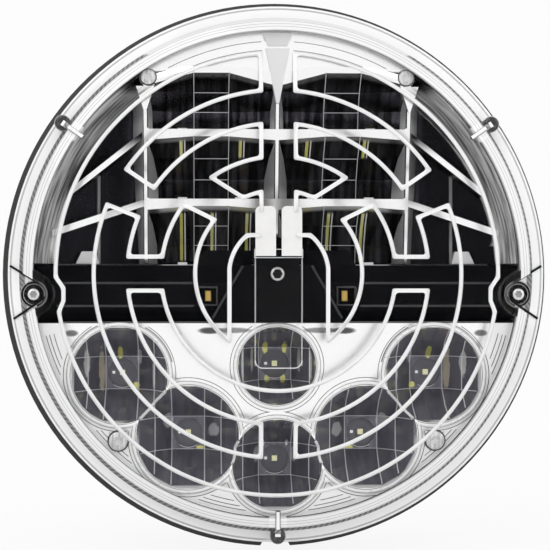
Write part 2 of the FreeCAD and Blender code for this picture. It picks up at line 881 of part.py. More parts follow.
# Reflectors. Their bowls are made of flat facets on a grid of columns and rows.
def relief(x_lines, z_lines, x_rises, z_rises, back, front):
    """Block with a flat front whose back is a grid of flat facets, rising forward from its deepest spot."""
    def spot(i, j):
        return V(x_lines[i], back - x_rises[i] - z_rises[j], z_lines[j])

    def face(spots):
        return Part.Face(Part.makePolygon(spots + spots[:1]))

    last_x, last_z = len(x_lines) - 1, len(z_lines) - 1
    corners = ((0, 0), (last_x, 0), (last_x, last_z), (0, last_z))
    front_spots = [V(x_lines[i], front, z_lines[j]) for i, j in corners]
    faces = [face(front_spots)]
    for i in range(last_x):
        for j in range(last_z):
            faces.append(face([spot(i, j), spot(i + 1, j), spot(i + 1, j + 1), spot(i, j + 1)]))
    for i, near, far in ((0, 0, 3), (last_x, 1, 2)):
        faces.append(face([spot(i, j) for j in range(last_z + 1)] + [front_spots[far], front_spots[near]]))
    for j, near, far in ((0, 0, 1), (last_z, 3, 2)):
        faces.append(face([spot(i, j) for i in range(last_x + 1)] + [front_spots[far], front_spots[near]]))
    solid = Part.Solid(Part.makeShell(faces))
    solid.fixTolerance(1e-6)
    return solid if solid.Volume > 0 else solid.reversed()


wall = d.reflector_wall.value
open_front = (crown - d.dome_rise).value
reflector_room = turned(
    "reflector_room",
    [
        (0, crown),
        (reflector_radius, crown),
        (reflector_radius, ring_front),
        (bore_radius - d.fit_gap, ring_front),
        (bore_radius - d.fit_gap, spreader_front - d.fit_gap),
        (0, spreader_front - d.fit_gap),
    ],
)
dome_room = doc.addObject("Part::Sphere", "dome_room")
bind(dome_room, Radius=inner_sphere - d.dome_clearance)
place(dome_room, 0, sphere_center, 0)
reflector_limit = common("reflector_limit", reflector_room, dome_room)
cup_floor = d.lower_board_front - d.fit_gap * 2

cups = {
    "middle": (as_size(0), d.middle_cup_z, d.middle_cup_dia / 2),
    "left": (-d.side_cup_x, d.side_cup_z, d.side_cup_dia / 2),
    "right": (d.side_cup_x, d.side_cup_z, d.side_cup_dia / 2),
    "low_left": (-d.low_cup_x, d.low_cup_z, d.low_cup_dia / 2),
    "low_right": (d.low_cup_x, d.low_cup_z, d.low_cup_dia / 2),
    "bottom": (as_size(0), d.bottom_cup_z, d.bottom_cup_dia / 2),
}


def cup_relief(x, z, radius, margin):
    """Faceted parabolic bowl, open at the reflector's face, grown all round by a margin."""
    facet = d.cup_facet.value
    flat = cup_floor.value - wall
    focus = (radius ** 2 - facet ** 2) / (4 * (flat - reflector_face.value))
    brim = radius + facet / 2
    lines = [-brim, -2 * facet, -facet, facet, 2 * facet, brim]
    rises = [line ** 2 / (4 * focus) for line in lines]
    grow = 1 + margin / radius
    x_lines = [x + line * grow for line in lines]
    z_lines = [z + line * grow for line in lines]
    back = flat + margin + 2 * facet ** 2 / (4 * focus)
    return relief(x_lines, z_lines, rises, rises, back, open_front)


shells, bowls, lips = [], [], []
for name, (x, z, radius) in cups.items():
    shell_block = shaped(f"cup_shell_block_{name}", cup_relief(x.value, z.value, radius.value, wall))
    shell_rod = rod(f"cup_shell_rod_{name}", radius + d.reflector_wall, x, z, (reflector_face, cup_floor))
    shells.append(common(f"cup_shell_{name}", shell_block, shell_rod))
    bowl_block = shaped(f"cup_bowl_block_{name}", cup_relief(x.value, z.value, radius.value, 0))
    bowl_rod = rod(f"cup_bowl_rod_{name}", radius, x, z, (crown, d.shoulder_depth))
    bowls.append(common(f"cup_bowl_{name}", bowl_block, bowl_rod))
    bowls.append(rod(f"cup_hole_{name}", d.cup_hole_dia / 2, x, z, (reflector_face, d.shoulder_depth)))
    lips.append(rod(f"cup_lip_{name}", radius + d.cup_lip, x, z,
                    (reflector_face - d.cup_lip_rise, reflector_face)))

lower_top = d.band_bottom - d.fit_gap
lower_half = box("lower_half", (-far, far), (crown, d.shoulder_depth), (-far, lower_top))
lower_plate = rod("lower_plate", reflector_radius, 0, 0, (reflector_face, reflector_face + d.reflector_wall))
rim_ring = turned(
    "rim_ring",
    [
        (reflector_radius - d.reflector_wall, reflector_face),
        (reflector_radius, reflector_face),
        (reflector_radius, ring_front),
        (reflector_radius - d.reflector_wall, ring_front),
    ],
)
bosses = {
    name: rod(f"boss_{name}", d.boss_radius, x, z, (reflector_seats[name], ring_front))
    for name, (x, z) in reflector_places.items()
}
boss_holes = {
    name: rod(f"boss_hole_{name}", d.screw_dia / 2 + d.fit_gap / 2, x, z,
              (reflector_seats[name] - d.fit_gap, ring_front + d.fit_gap))
    for name, (x, z) in reflector_places.items()
}
boss_wells = {
    name: rod(f"boss_well_{name}", d.head_dia / 2 + d.fit_gap, x, z, (crown, reflector_seats[name]))
    for name, (x, z) in reflector_places.items()
}
lower_bosses = [bosses["lower_left"], bosses["lower_right"]]
lower_blank = fuse("lower_blank", lower_plate, rim_ring, *shells, *lips, *lower_bosses)
lower_limits = common("lower_limits", lower_blank, lower_half, reflector_limit)
lower_cuts = [boss_holes["lower_left"], boss_holes["lower_right"]]
lower_cuts += [boss_wells["lower_left"], boss_wells["lower_right"]]
lower_reflector = cut("lower_reflector", lower_limits, *bowls, *lower_cuts)

# Upper reflector: two bays of three bowls between upright ribs, open wings beside them and a stepped crown
def front_at(z):
    """Depth of the sloping front of the upper reflector at a height."""
    share = (z - d.band_top) / (d.tier_top - d.band_top)
    return -(d.front_low + (d.front_high - d.front_low) * share)


tier_floors = [d.band_top + d.fit_gap, d.tier_one + d.shelf_thick, d.tier_two + d.shelf_thick]
tier_heads = [d.tier_one, d.tier_two, d.tier_top]
bay_inner = d.rib_edge / 2
bay_outer = d.rib_x - d.rib_edge / 2


def bowl_relief(side, floor, head, margin):
    """Faceted half bowl of a bay, closed above and behind, grown by a margin."""
    low, high = floor.value + d.fit_gap.value, head.value
    focus = d.tier_focus.value
    middle = (bay_inner + bay_outer).value / 2
    half = (bay_outer - bay_inner).value / 2
    facet = d.facet_half.value
    offsets = [-half, -facet, facet, half]
    rows = [0, (high - low) / 3, (high - low) * 2 / 3, high - low]
    spread = (d.top_spread if head is tier_heads[-1] else d.shelf_spread).value
    x_rises = [offset ** 2 / (4 * focus * spread) for offset in offsets]
    back = front_at(head).value + (high - low) ** 2 / (4 * focus)
    x_lines = [side * middle + offset * (1 + margin / half) for offset in offsets]
    z_lines = [low] + [low + row + margin for row in rows[1:]]
    z_rises = [row ** 2 / (4 * focus) for row in rows]
    return relief(x_lines, z_lines, x_rises, z_rises, back + margin, open_front)


def wing_relief(side, margin):
    """Faceted hollow beside the bays, deepest at the rib and rising to the rim."""
    first = (d.rib_x + d.rib_edge / 2).value
    span = reflector_radius.value - first
    steps = [0, span / 3, span * 2 / 3, span]
    lines = [side * (first + step) for step in steps]
    rises = [d.wing_rise.value * (step / span) ** 2 for step in steps]
    lines[0] -= side * margin
    if side < 0:
        lines.reverse()
        rises.reverse()
    low = tier_floors[0].value + d.fit_gap.value
    z_lines = [low, d.tier_top.value + margin]
    return relief(lines, z_lines, rises, [0, 0], margin - d.wing_back.value, open_front)


bay_shells, bay_hollows = [], []
for label, side in sides.items():
    for tier, (floor, head) in enumerate(zip(tier_floors, tier_heads), start=1):
        bay_shells.append(shaped(f"bay_shell_{label}_{tier}", bowl_relief(side, floor, head, wall)))
        bay_hollows.append(shaped(f"bay_hollow_{label}_{tier}", bowl_relief(side, floor, head, 0)))
    bay_shells.append(shaped(f"wing_shell_{label}", wing_relief(side, wall)))
    bay_hollows.append(shaped(f"wing_hollow_{label}", wing_relief(side, 0)))

front_trim = bar(
    "front_trim",
    [
        (crown - d.dome_rise, -d.flange_dia),
        (front_at(-d.flange_dia), -d.flange_dia),
        (front_at(d.flange_dia), d.flange_dia),
        (crown - d.dome_rise - far, d.flange_dia),
    ],
    (-far, far),
)
bays = cut("bays", cut("bays_sloped", fuse("bay_blank", *bay_shells), front_trim), *bay_hollows)


def rib(name, x, head):
    """Upright rib with drafted sides and a thin front edge that follows the sloping front."""
    body = doc.addObject("PartDesign::Body", name)
    sketches = []
    for label, z in (("low", tier_floors[0] + d.fit_gap), ("high", head)):
        front = front_at(z)
        points = [
            (x - d.rib_edge / 2, front),
            (x + d.rib_edge / 2, front),
            (x + d.rib_root / 2, front + d.rib_depth),
            (x - d.rib_root / 2, front + d.rib_depth),
        ]
        sketch = outline(body, f"{name}_{label}", "XY_Plane", points)
        sketch.setExpression("AttachmentOffset.Base.z", z.text)
        sketches.append(sketch)
    loft = body.newObject("PartDesign::AdditiveLoft", f"{name}_loft")
    loft.Profile = sketches[0]
    loft.Sections = sketches[1:]
    loft.Ruled = True
    wedge = plate(
        f"{name}_wedge",
        [
            (x - d.rib_wedge / 2, head),
            (x, head - d.rib_wedge_length),
            (x + d.rib_wedge / 2, head),
        ],
        (front_at(head), front_at(head) + d.shelf_depth),
    )
    return [body, wedge]


ribs = rib("rib_middle", as_size(0), d.tier_top)
for label, side in sides.items():
    ribs += rib(f"rib_{label}", side * d.rib_x, d.upper_boss_z - d.boss_radius)

shelves = []
for index, head in enumerate(tier_heads[:2], start=1):
    top = head + d.shelf_thick
    section = [
        (front_at(head), head),
        (front_at(head) + d.shelf_depth, head),
        (front_at(head) + d.shelf_depth, top),
        (front_at(top), top),
    ]
    shelves.append(bar(f"shelf_{index}", section, (-d.rib_x, d.rib_x)))
wing_ends = [(d.low_wing_x, d.low_wing_z), (d.high_wing_x, d.high_wing_z)]
for label, side in sides.items():
    for index, (head, (end_x, end_z)) in enumerate(zip(tier_heads, wing_ends), start=1):
        points = [
            (side * d.rib_x, head),
            (side * d.rib_x, head + d.shelf_thick),
            (side * end_x, end_z + d.shelf_thick),
            (side * end_x, end_z),
        ]
        depths = (front_at((head + end_z) / 2), -d.wing_back)
        shelves.append(plate(f"wing_shelf_{label}_{index}", points, depths))

rim_wall = turned(
    "rim_wall",
    [
        (reflector_radius - d.reflector_wall / 2, reflector_face),
        (reflector_radius, reflector_face),
        (reflector_radius, ring_front),
        (bore_radius - d.fit_gap, ring_front),
        (d.rim_back_dia / 2 + d.reflector_wall, -d.rim_back),
        (d.rim_back_dia / 2, -d.rim_back),
        (bore_radius - d.fit_gap - d.reflector_wall, ring_front),
    ],
)
crown_ring = turned(
    "crown_ring",
    [
        (d.tier_top - d.reflector_wall, -d.crown_front),
        (d.crown_step_one / 2, -d.crown_front),
        (d.crown_step_one / 2, d.crown_drop - d.crown_front),
        (d.crown_step_two / 2, d.crown_drop - d.crown_front),
        (d.crown_step_two / 2, d.crown_drop * 2 - d.crown_front),
        (reflector_radius, d.crown_drop * 2 - d.crown_front),
        (reflector_radius, reflector_face),
        (d.tier_top - d.reflector_wall, reflector_face),
    ],
)
crown_chord = box("crown_chord", (-far, far), (crown, as_size(0)), (d.tier_top, far))
crown_plate = common("crown_plate", crown_ring, crown_chord)
upper_bottom = tier_floors[0] + d.fit_gap
upper_half = box("upper_half", (-far, far), (crown, d.shoulder_depth), (upper_bottom, far))
upper_bosses = [bosses["upper_left"], bosses["upper_right"]]
upper_blank = fuse("upper_blank", bays, *ribs, *shelves, rim_wall, crown_plate, *upper_bosses)
upper_trimmed = common("upper_trimmed", upper_blank, upper_half, reflector_limit)
pillar_rooms = [
    rod(f"pillar_room_{name}", pillar_radius + d.fit_gap, *reflector_places[name],
        (ring_front, spreader_front))
    for name in ("upper_left", "upper_right")
]
upper_cuts = [boss_holes["upper_left"], boss_holes["upper_right"]]
upper_cuts += [boss_wells["upper_left"], boss_wells["upper_right"]]
upper_reflector = cut("upper_reflector", upper_trimmed, *pillar_rooms, *upper_cuts)

reflector_screws = group(
    "reflector_screws",
    *[screw(f"reflector_screw_{name}", x, z, reflector_seats[name], screw_tip - reflector_seats[name])
      for name, (x, z) in reflector_places.items()],
)


# Black band between the reflectors, with windows for the position lights
band_rear = ring_front
band_shoulder = (ring_front - d.band_front) / 2
band_section = [
    (band_rear, d.band_top),
    (band_shoulder, d.band_top),
    (-d.band_front, d.ridge_high),
    (-d.band_front, d.ridge_low),
    (band_shoulder, d.band_bottom),
    (band_rear, d.band_bottom),
    (band_rear, d.band_bottom + d.band_wall),
    (band_shoulder + d.band_wall / 2, d.band_bottom + d.band_wall),
    (d.band_wall - d.band_front, d.ridge_low + d.band_wall / 4),
    (d.band_wall - d.band_front, d.ridge_high - d.band_wall / 4),
    (band_shoulder + d.band_wall / 2, d.band_top - d.band_wall),
    (band_rear, d.band_top - d.band_wall),
]
band_bar = bar("band_bar", band_section, (-reflector_radius, reflector_radius))
panel_front = -d.band_front - d.panel_rise
panel = plate(
    "band_panel",
    [
        (-d.panel_top, d.band_top),
        (-d.panel_bottom, d.band_bottom),
        (d.panel_bottom, d.band_bottom),
        (d.panel_top, d.band_top),
    ],
    (panel_front, d.band_wall - d.band_front),
)
band_lips = []
for label, side in sides.items():
    lip_points = [
        (side * d.lip_inner, d.band_top - d.band_wall),
        (side * d.lip_outer, d.band_top - d.band_wall),
        (side * d.lip_outer, d.band_top),
        (side * (d.lip_outer - d.lip_height / 2), d.band_top + d.lip_height),
        (side * d.lip_inner, d.band_top + d.lip_height),
    ]
    band_lips.append(plate(f"band_lip_{label}", lip_points, (band_shoulder, band_shoulder + d.band_wall)))
contact_top = d.contact_z + d.contact_dia
contact_back = band_shoulder + d.band_wall
contact_block = box("contact_block", (-pad_outer, pad_outer), (band_shoulder, contact_back),
                    (d.band_top - d.band_wall, contact_top))
windows = [
    box(f"window_{label}",
        (side * d.window_x - d.window_width / 2, side * d.window_x + d.window_width / 2),
        (panel_front - d.fit_gap, band_rear),
        (d.window_z - d.window_height / 2, d.window_z + d.window_height / 2))
    for label, side in sides.items()
]
bezel_post_hole = rod("bezel_screw_hole", d.screw_dia / 2 + d.fit_gap / 2, 0, d.bezel_screw_z,
                      (panel_front - d.fit_gap, band_rear))
bezel_post = rod("bezel_post", d.head_dia / 2, 0, d.bezel_screw_z, (d.band_wall - d.band_front, band_rear))
notch_rooms = [
    side_notch(f"notch_room_{name}", side, d.lens_wall + d.fit_gap, band_rear) for name, side in sides.items()
]
band_round = rod("band_round", reflector_radius, 0, 0, (crown, band_rear))
band_blank = fuse("band_blank", band_bar, panel, *band_lips, contact_block, bezel_post)
center_bezel = cut("center_bezel", common("band_trimmed", band_blank, band_round), *windows, *notch_rooms,
                   bezel_post_hole)
bezel_screw = screw("bezel_screw", as_size(0), d.bezel_screw_z, panel_front)


# Boards and chips
chip_half = d.chip / 2
finger_inner = d.rib_root / 2 + d.fit_gap * 2
finger_outer = d.rib_x - d.rib_root / 2 - d.fit_gap * 2
board_fronts = [band_rear + d.fit_gap * 2]
board_fronts += [front_at(head) + d.shelf_depth + d.fit_gap for head in tier_heads[:2]]
chip_spread = d.upper_chip_pitch / 2
bay_middle = (bay_inner + bay_outer) / 2
boards, upper_chips, fingers = [], [], []
for tier, (floor, head, front) in enumerate(zip(tier_floors, tier_heads, board_fronts), start=1):
    for label, side in sides.items():
        edges = sorted((side * finger_inner, side * finger_outer), key=lambda size: size.value)
        depth = (front, front + d.upper_board_depth)
        boards.append(box(f"upper_board_{label}_{tier}", edges, depth, (floor - d.board_thick, floor)))
        under = floor - d.board_thick
        fingers.append(box(f"finger_{label}_{tier}", edges, (depth[1] - d.finger_overlap, spreader_front),
                           (under - d.finger_thick, under)))
        for step, offset in (("near", -chip_spread), ("far", chip_spread)):
            middle = side * bay_middle + offset
            upper_chips.append(box(f"upper_chip_{label}_{tier}_{step}",
                                   (middle - chip_half, middle + chip_half),
                                   (front + d.chip_inset, front + d.chip_inset + d.chip),
                                   (floor, floor + d.chip_thick)))
upper_led_boards = group("upper_led_boards", *boards)
upper_leds = group("upper_leds", *upper_chips)

board_back = d.lower_board_front + d.board_thick
pad_back = board_back + d.thermal_thick


def lower_slab(name, inset, depth):
    """Slab behind the six cups, a round sector with a straight top."""
    disc = rod(f"{name}_disc", d.lower_board_dia / 2 - inset, 0, 0, depth)
    room = box(f"{name}_room", (-far, far), depth, (-far, d.lower_board_top - inset))
    return common(name, disc, room)


lower_led_board = lower_slab("lower_led_board", as_size(0), (d.lower_board_front, board_back))
thermal_pad = lower_slab("thermal_pad", d.thermal_inset, (board_back, pad_back))
pedestal = lower_slab("pedestal", d.thermal_inset, (pad_back, spreader_front))
lower_leds = group(
    "lower_leds",
    *[box(f"lower_chip_{name}", (x - chip_half, x + chip_half),
          (d.lower_board_front - d.chip_thick, d.lower_board_front), (z - chip_half, z + chip_half))
      for name, (x, z, radius) in cups.items()],
)

position_back = d.position_board_back
position_front = -position_back - d.board_thick
position_boards, position_chips, posts = [], [], []
for label, side in sides.items():
    x = side * d.window_x
    reach = d.position_board / 2
    position_boards.append(box(f"position_board_{label}", (x - reach, x + reach),
                               (position_front, -position_back), (d.window_z - reach, d.window_z + reach)))
    position_chips.append(box(f"position_chip_{label}", (x - chip_half / 2, x + chip_half / 2),
                              (position_front - d.chip_thick, position_front),
                              (d.window_z - chip_half, d.window_z + chip_half)))
    posts.append(rod(f"position_post_{label}", d.standoff_radius, x, d.window_z,
                     (-position_back, spreader_front)))
position_led_board = group("position_led_board", *position_boards)
position_leds = group("position_leds", *position_chips)

spreader_disc = rod("spreader_disc", d.spreader_dia / 2, 0, 0, (spreader_front, d.shoulder_depth))
spreader_holes = [
    rod(f"spreader_hole_{name}", d.screw_dia / 2 + d.fit_gap / 2, x, z,
        (spreader_front - d.fit_gap, d.shoulder_depth + d.fit_gap))
    for name, (x, z) in spreader_places.items()
]
spreader_solid = fuse("spreader_solid", spreader_disc, pedestal, *fingers, *posts)
heat_spreader = cut("heat_spreader", spreader_solid, *spreader_holes)
spreader_screws = group(
    "spreader_screws",
    *[screw(f"spreader_screw_{name}", x, z, spreader_front) for name, (x, z) in spreader_places.items()],
)

# Driver electronics in the rear chamber
driver_holes = [
    rod(f"driver_hole_{index}", d.screw_dia / 2 + d.fit_gap / 2, a * d.standoff_place, b * d.standoff_place,
        (d.driver_front - d.fit_gap, driver_back + d.fit_gap))
    for index, (a, b) in enumerate(corners, start=1)
]
driver_disc = rod("driver_disc", d.driver_dia / 2, 0, 0, (d.driver_front, driver_back))
driver_board = cut("driver_board", driver_disc, *driver_holes)
driver_screws = group(
    "driver_screws",
    *[screw(f"driver_screw_{index}", a * d.standoff_place, b * d.standoff_place, d.driver_front)
      for index, (a, b) in enumerate(corners, start=1)],
)
inductor_back = driver_back + d.inductor_height
inductor_rim = rod("inductor_rim", d.inductor_dia / 2, d.inductor_x, 0, (driver_back, inductor_back))
inductor_bore = rod("inductor_bore", d.inductor_dia / 5, d.inductor_x, 0,
                    (driver_back - d.fit_gap, inductor_back + d.fit_gap))
driver_inductor = cut("driver_inductor", inductor_rim, inductor_bore)
driver_capacitors = group(
    "driver_capacitors",
    *[rod(f"capacitor_{label}", d.capacitor_dia / 2, -d.inductor_x, side * d.capacitor_dia,
          (driver_back, driver_back + d.capacitor_height))
      for label, side in sides.items()],
)

# Sprung pins from the band to the trace pads
pad_rear = sphere_center - inner_sphere + d.film_gap * 2 + d.trace_thick + d.terminal_thick + d.contact_gap
heater_contacts = group(
    "heater_contacts",
    *[rod(f"contact_{label}", d.contact_dia / 2, side * (pad_inner + pad_outer) / 2, d.contact_z,
          (pad_rear, band_shoulder))
      for label, side in sides.items()],
)

# Three blade inlet and breather at the back
gasket_back = shell_back + d.gasket_thick
inlet_sides = (-d.inlet_width / 2, d.inlet_width / 2)
inlet_ends = (d.inlet_z - d.inlet_height / 2, d.inlet_z + d.inlet_height / 2)
gasket_block = box("gasket_block", inlet_sides, (shell_back, gasket_back), inlet_ends)
gasket_hole = rod("gasket_hole", d.inlet_spigot_dia / 2 + d.fit_gap, 0, d.inlet_z,
                  (shell_back - d.fit_gap, gasket_back + d.fit_gap))
connector_gasket = cut("connector_gasket", gasket_block, gasket_hole)
tower_back = gasket_back + d.inlet_flange + d.inlet_tower
inlet_flange = box("inlet_flange", inlet_sides, (gasket_back, gasket_back + d.inlet_flange), inlet_ends)
tower_points = [
    (inlet_sides[0] + d.inlet_flange, inlet_ends[0] + d.inlet_flange),
    (inlet_sides[1] - d.inlet_flange, inlet_ends[0] + d.inlet_flange),
    (inlet_sides[1] - d.inlet_flange, d.inlet_z + d.inlet_flange),
    (inlet_sides[1] - d.inlet_flange * 2, inlet_ends[1] - d.inlet_flange),
    (inlet_sides[0] + d.inlet_flange * 2, inlet_ends[1] - d.inlet_flange),
    (inlet_sides[0] + d.inlet_flange, d.inlet_z + d.inlet_flange),
]
inlet_tower = plate("inlet_tower", tower_points, (gasket_back + d.inlet_flange, tower_back))
inlet_spigot = rod("inlet_spigot", d.inlet_spigot_dia / 2, 0, d.inlet_z, (d.chamber_depth, gasket_back))
connector_body = fuse("connector_body", inlet_flange, inlet_tower, inlet_spigot)
blade_depth = (tower_back, tower_back + d.blade_length)
blade_half = d.blade_width / 2
blade_edge = d.blade_thick / 2
blades = [
    box("blade_top", (-blade_half, blade_half), blade_depth,
        (d.inlet_z + d.blade_rise - blade_edge, d.inlet_z + d.blade_rise + blade_edge)),
]
for label, side in sides.items():
    x = side * d.blade_offset
    middle = d.inlet_z - d.blade_rise
    blades.append(box(f"blade_{label}", (x - blade_edge, x + blade_edge), blade_depth,
                      (middle - blade_half, middle + blade_half)))
connector_blades = group("connector_blades", *blades)
vent_cap = rod("vent_cap", d.vent_dia / 2, 0, d.vent_z, (shell_back, shell_back + d.vent_height))
vent_stem = rod("vent_stem", d.vent_dia / 4, 0, d.vent_z, (d.chamber_depth, shell_back))
breather_vent = fuse("breather_vent", vent_cap, vent_stem)


nodes = [
    outer_lens,
    lens_screws,
    lens_seal,
    front_frame,
    body_seal,
    rear_body,
    *circuits,
    *terminals,
    terminal_cover,
    upper_reflector,
    lower_reflector,
    reflector_screws,
    center_bezel,
    bezel_screw,
    upper_led_boards,
    upper_leds,
    lower_led_board,
    lower_leds,
    thermal_pad,
    position_led_board,
    position_leds,
    heat_spreader,
    spreader_screws,
    driver_board,
    driver_screws,
    driver_inductor,
    driver_capacitors,
    heater_contacts,
    connector_gasket,
    connector_body,
    connector_blades,
    breather_vent,
]
doc.recompute()
for thing in doc.Objects:
    if "Invalid" in thing.State or "Error" in thing.State:
        raise RuntimeError(f"{thing.Label} failed: {thing.State}")
for thing in nodes:
    if thing.Shape.isNull() or not thing.Shape.isValid() or not thing.Shape.Solids:
        raise RuntimeError(f"{thing.Label} has no sound solid")
os.makedirs("parts", exist_ok=True)
for thing in nodes:
    thing.Shape.exportStep(f"parts/{thing.Label}.step")
    print(thing.Label, len(thing.Shape.Solids), round(thing.Shape.Volume))
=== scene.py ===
import math

import bmesh
import bpy
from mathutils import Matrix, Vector


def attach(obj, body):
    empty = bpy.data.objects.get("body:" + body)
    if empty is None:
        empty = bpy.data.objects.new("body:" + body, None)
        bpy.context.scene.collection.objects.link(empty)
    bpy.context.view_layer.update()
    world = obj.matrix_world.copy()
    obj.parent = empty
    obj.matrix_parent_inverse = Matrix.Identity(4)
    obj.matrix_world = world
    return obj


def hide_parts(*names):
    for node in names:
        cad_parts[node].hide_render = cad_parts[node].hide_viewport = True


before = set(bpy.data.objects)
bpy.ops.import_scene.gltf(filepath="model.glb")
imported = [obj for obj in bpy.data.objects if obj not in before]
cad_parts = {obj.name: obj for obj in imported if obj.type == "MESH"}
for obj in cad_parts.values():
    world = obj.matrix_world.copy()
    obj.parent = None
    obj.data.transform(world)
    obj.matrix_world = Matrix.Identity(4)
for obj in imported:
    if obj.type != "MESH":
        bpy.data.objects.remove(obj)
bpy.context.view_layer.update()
mm = 0.001
print("frame loaded:", len(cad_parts), "nodes")

# Places and turns that several stages share, in millimetres and radians
screwSeats = {"side": (77.4, -20, -6.5), "band": (0, -23.2, 0),
              "upper": (41, -23, 62.4), "lower": (50.6, -20, -53.2)}
nubTurns = [math.radians(turn) for turn in (145, 35, 270)]
slope = {"front": 12, "rise": 14, "low": 2.8, "tall": 61.2}


def leanAt(z):                                      # how far the upper reflector's face stands forward
    return slope["front"] + (z - slope["low"]) * (slope["rise"] / slope["tall"])


# Node wiring: one socket with maths on it, for shaders and for geometry trees

class Wire:
    def __init__(self, tree, socket=None):
        self.tree = tree
        self.socket = socket

    def node(self, kind, settings=None, inputs=None, out=0):
        made = self.tree.nodes.new(kind)
        for key, value in (settings or {}).items():
            setattr(made, key, value)
        for key, value in (inputs or {}).items():
            if isinstance(value, Wire):
                self.tree.links.new(value.socket, made.inputs[key])
            else:
                made.inputs[key].default_value = value
        return Wire(self.tree, made.outputs[out])

    def sibling(self, out):                         # another output of the same node
        return Wire(self.tree, self.socket.node.outputs[out])

    def maths(self, operation, *others):
        return self.node("ShaderNodeMath", {"operation": operation}, dict(enumerate((self,) + others)))

    def __add__(self, other):
        return self.maths("ADD", other)

    def __radd__(self, other):
        return self.maths("ADD", other)

    def __sub__(self, other):
        return self.maths("SUBTRACT", other)

    def __rsub__(self, other):
        return self.node("ShaderNodeMath", {"operation": "SUBTRACT"}, {0: other, 1: self})

    def __mul__(self, other):
        return self.maths("MULTIPLY", other)

    def __truediv__(self, other):
        return self.maths("DIVIDE", other)

    def size(self):
        return self.maths("ABSOLUTE")

    def step(self, low, high):                      # soft step from 0 to 1
        return self.node("ShaderNodeMapRange", {"interpolation_type": "SMOOTHSTEP"},
                         {0: self, 1: low, 2: high, 3: 0.0, 4: 1.0})

    def past(self, limit, soft):                    # 1 beyond a limit
        return self.step(limit - soft, limit + soft)

    def band(self, low, high, soft):                # 1 between two limits
        return self.past(low, soft) * (1 - self.past(high, soft))

    def blend(self, first, second):                 # colour mix, this wire is the share of the second
        return self.node("ShaderNodeMix", {"data_type": "RGBA"}, {0: self, 6: first, 7: second}, 2)


socketNames = {
    "colour": "Base Color", "rough": "Roughness", "metal": "Metallic", "alpha": "Alpha", "normal": "Normal",
    "bending": "IOR", "gloss": "Specular IOR Level", "glow": "Emission Color", "power": "Emission Strength",
}


class Finish:                                       # a material and the places that its pattern reads
    def __init__(self, name, colour, rough, metal=0.0, **settings):
        self.material = bpy.data.materials.new(name)
        self.material.use_nodes = True
        self.tree = self.material.node_tree
        self.shader = self.tree.nodes["Principled BSDF"]
        self.start = Wire(self.tree)
        self.place = self.start.node("ShaderNodeTexCoord", out=3)
        self.x, self.y, self.z = [part * 1000 for part in self.parts(self.place)]
        self.radius = (self.x * self.x + self.z * self.z).maths("SQRT")
        self.feed(colour=colour, rough=rough, metal=metal, **settings)

    def feed(self, **values):
        for key, value in values.items():
            socket = self.shader.inputs[socketNames[key]]
            if isinstance(value, Wire):
                self.tree.links.new(value.socket, socket)
            else:
                socket.default_value = value
        return self

    def parts(self, vector):                        # the three numbers of a vector
        split = self.start.node("ShaderNodeSeparateXYZ", inputs={0: vector})
        return [split.sibling(k) for k in range(3)]

    def noise(self, scale, detail=3.0, stretch=(1, 1, 1)):
        place = self.start.node("ShaderNodeMapping", inputs={0: self.place, 3: stretch})
        return self.start.node("ShaderNodeTexNoise", inputs={"Vector": place, "Scale": scale, "Detail": detail})

    def bump(self, height, strength, distance):
        inputs = {"Strength": strength, "Distance": distance, "Height": height}
        return self.feed(normal=self.start.node("ShaderNodeBump", inputs=inputs))

    def facing(self, smooth=True):                  # parts of the surface's direction
        return self.parts(self.start.node("ShaderNodeNewGeometry", out=1 if smooth else 3))

    def turn(self):                                 # angle about the lamp's axis
        return self.z.maths("ARCTAN2", self.x)

    def graze(self, low):                           # 1 where the surface is seen edge on
        return self.start.node("ShaderNodeLayerWeight", inputs={"Blend": 0.5}, out=1).step(low, 1.0)

    def spot(self, place, level, wide, tall, low, ragged=0.0):    # soft oval on both sides of the middle
        away, rise = (self.x.size() - place) / wide, (self.z - level) / tall
        return 1 - (away * away + rise * rise + ragged).step(low, 1.0)


def grey(level, tint=(1, 1, 1)):
    return tuple(level * part for part in tint) + (1.0,)


def mottled(name, scale, first, second, rough, metal=0.0, **settings):    # one colour clouded with another
    look = Finish(name, first, rough, metal, **settings)
    return look.feed(colour=look.noise(scale).blend(first, second))


# Finishes of the clear and bright pieces

lensLook = {
    "window": 0.001, "grazing": 0.35, "skirt": 0.34, "skirtStart": 85.15, "face": -19.5, "crown": 70.0,
    "rings": [(77.2, 80.3, 0.9), (80.3, 82.1, 0.85), (84.65, 85.0, 0.55), (82.1, 84.6, 0.97), (85.05, 90.0, 0.97)],
    "ripple": (77.6, 80.2), "ripplePitch": 7.4,
    "knurl": (80.3, 82.1), "knurlTop": 80.95, "knurlTeeth": 280, "knurlSlant": 4,
    "notch": 75, "notchLevel": -6, "notchHalf": 3, "notchFlare": 0.6, "notchStart": 73.2, "well": 4.3,
    "finger": 0.5, "fingerHalf": 2.7, "fingerStart": 76.4, "fingerBack": -20.6,
}
lensClear = Finish("lensClear", grey(0.96, (0.99, 0.995, 1)), 0.05, bending=1.5)
rim = lensClear.radius
# The lens's rim is made nearly opaque in rings; the white rings are painted highlights of its clear steps and edge
veil = sum(rim.band(low, high, 0.1) * share for low, high, share in lensLook["rings"])
front = 1 - lensClear.y.past(lensLook["face"], 0.2)

# Each side notch is open over the round well of its screw
sideways = lensClear.x.size()
notchRoom = lensLook["notchHalf"] + (sideways - lensLook["notch"]) * lensLook["notchFlare"]
notchRoom = notchRoom - (lensClear.z - lensLook["notchLevel"]).size()
wellAcross, wellUp = sideways - screwSeats["side"][0], lensClear.z - screwSeats["side"][2]
well = (wellAcross * wellAcross + wellUp * wellUp).maths("SQRT")
notched = notchRoom.past(0.05, 0.15) * sideways.past(lensLook["notchStart"], 0.2)
opened = notched * (1 - well.past(lensLook["well"], 0.1))

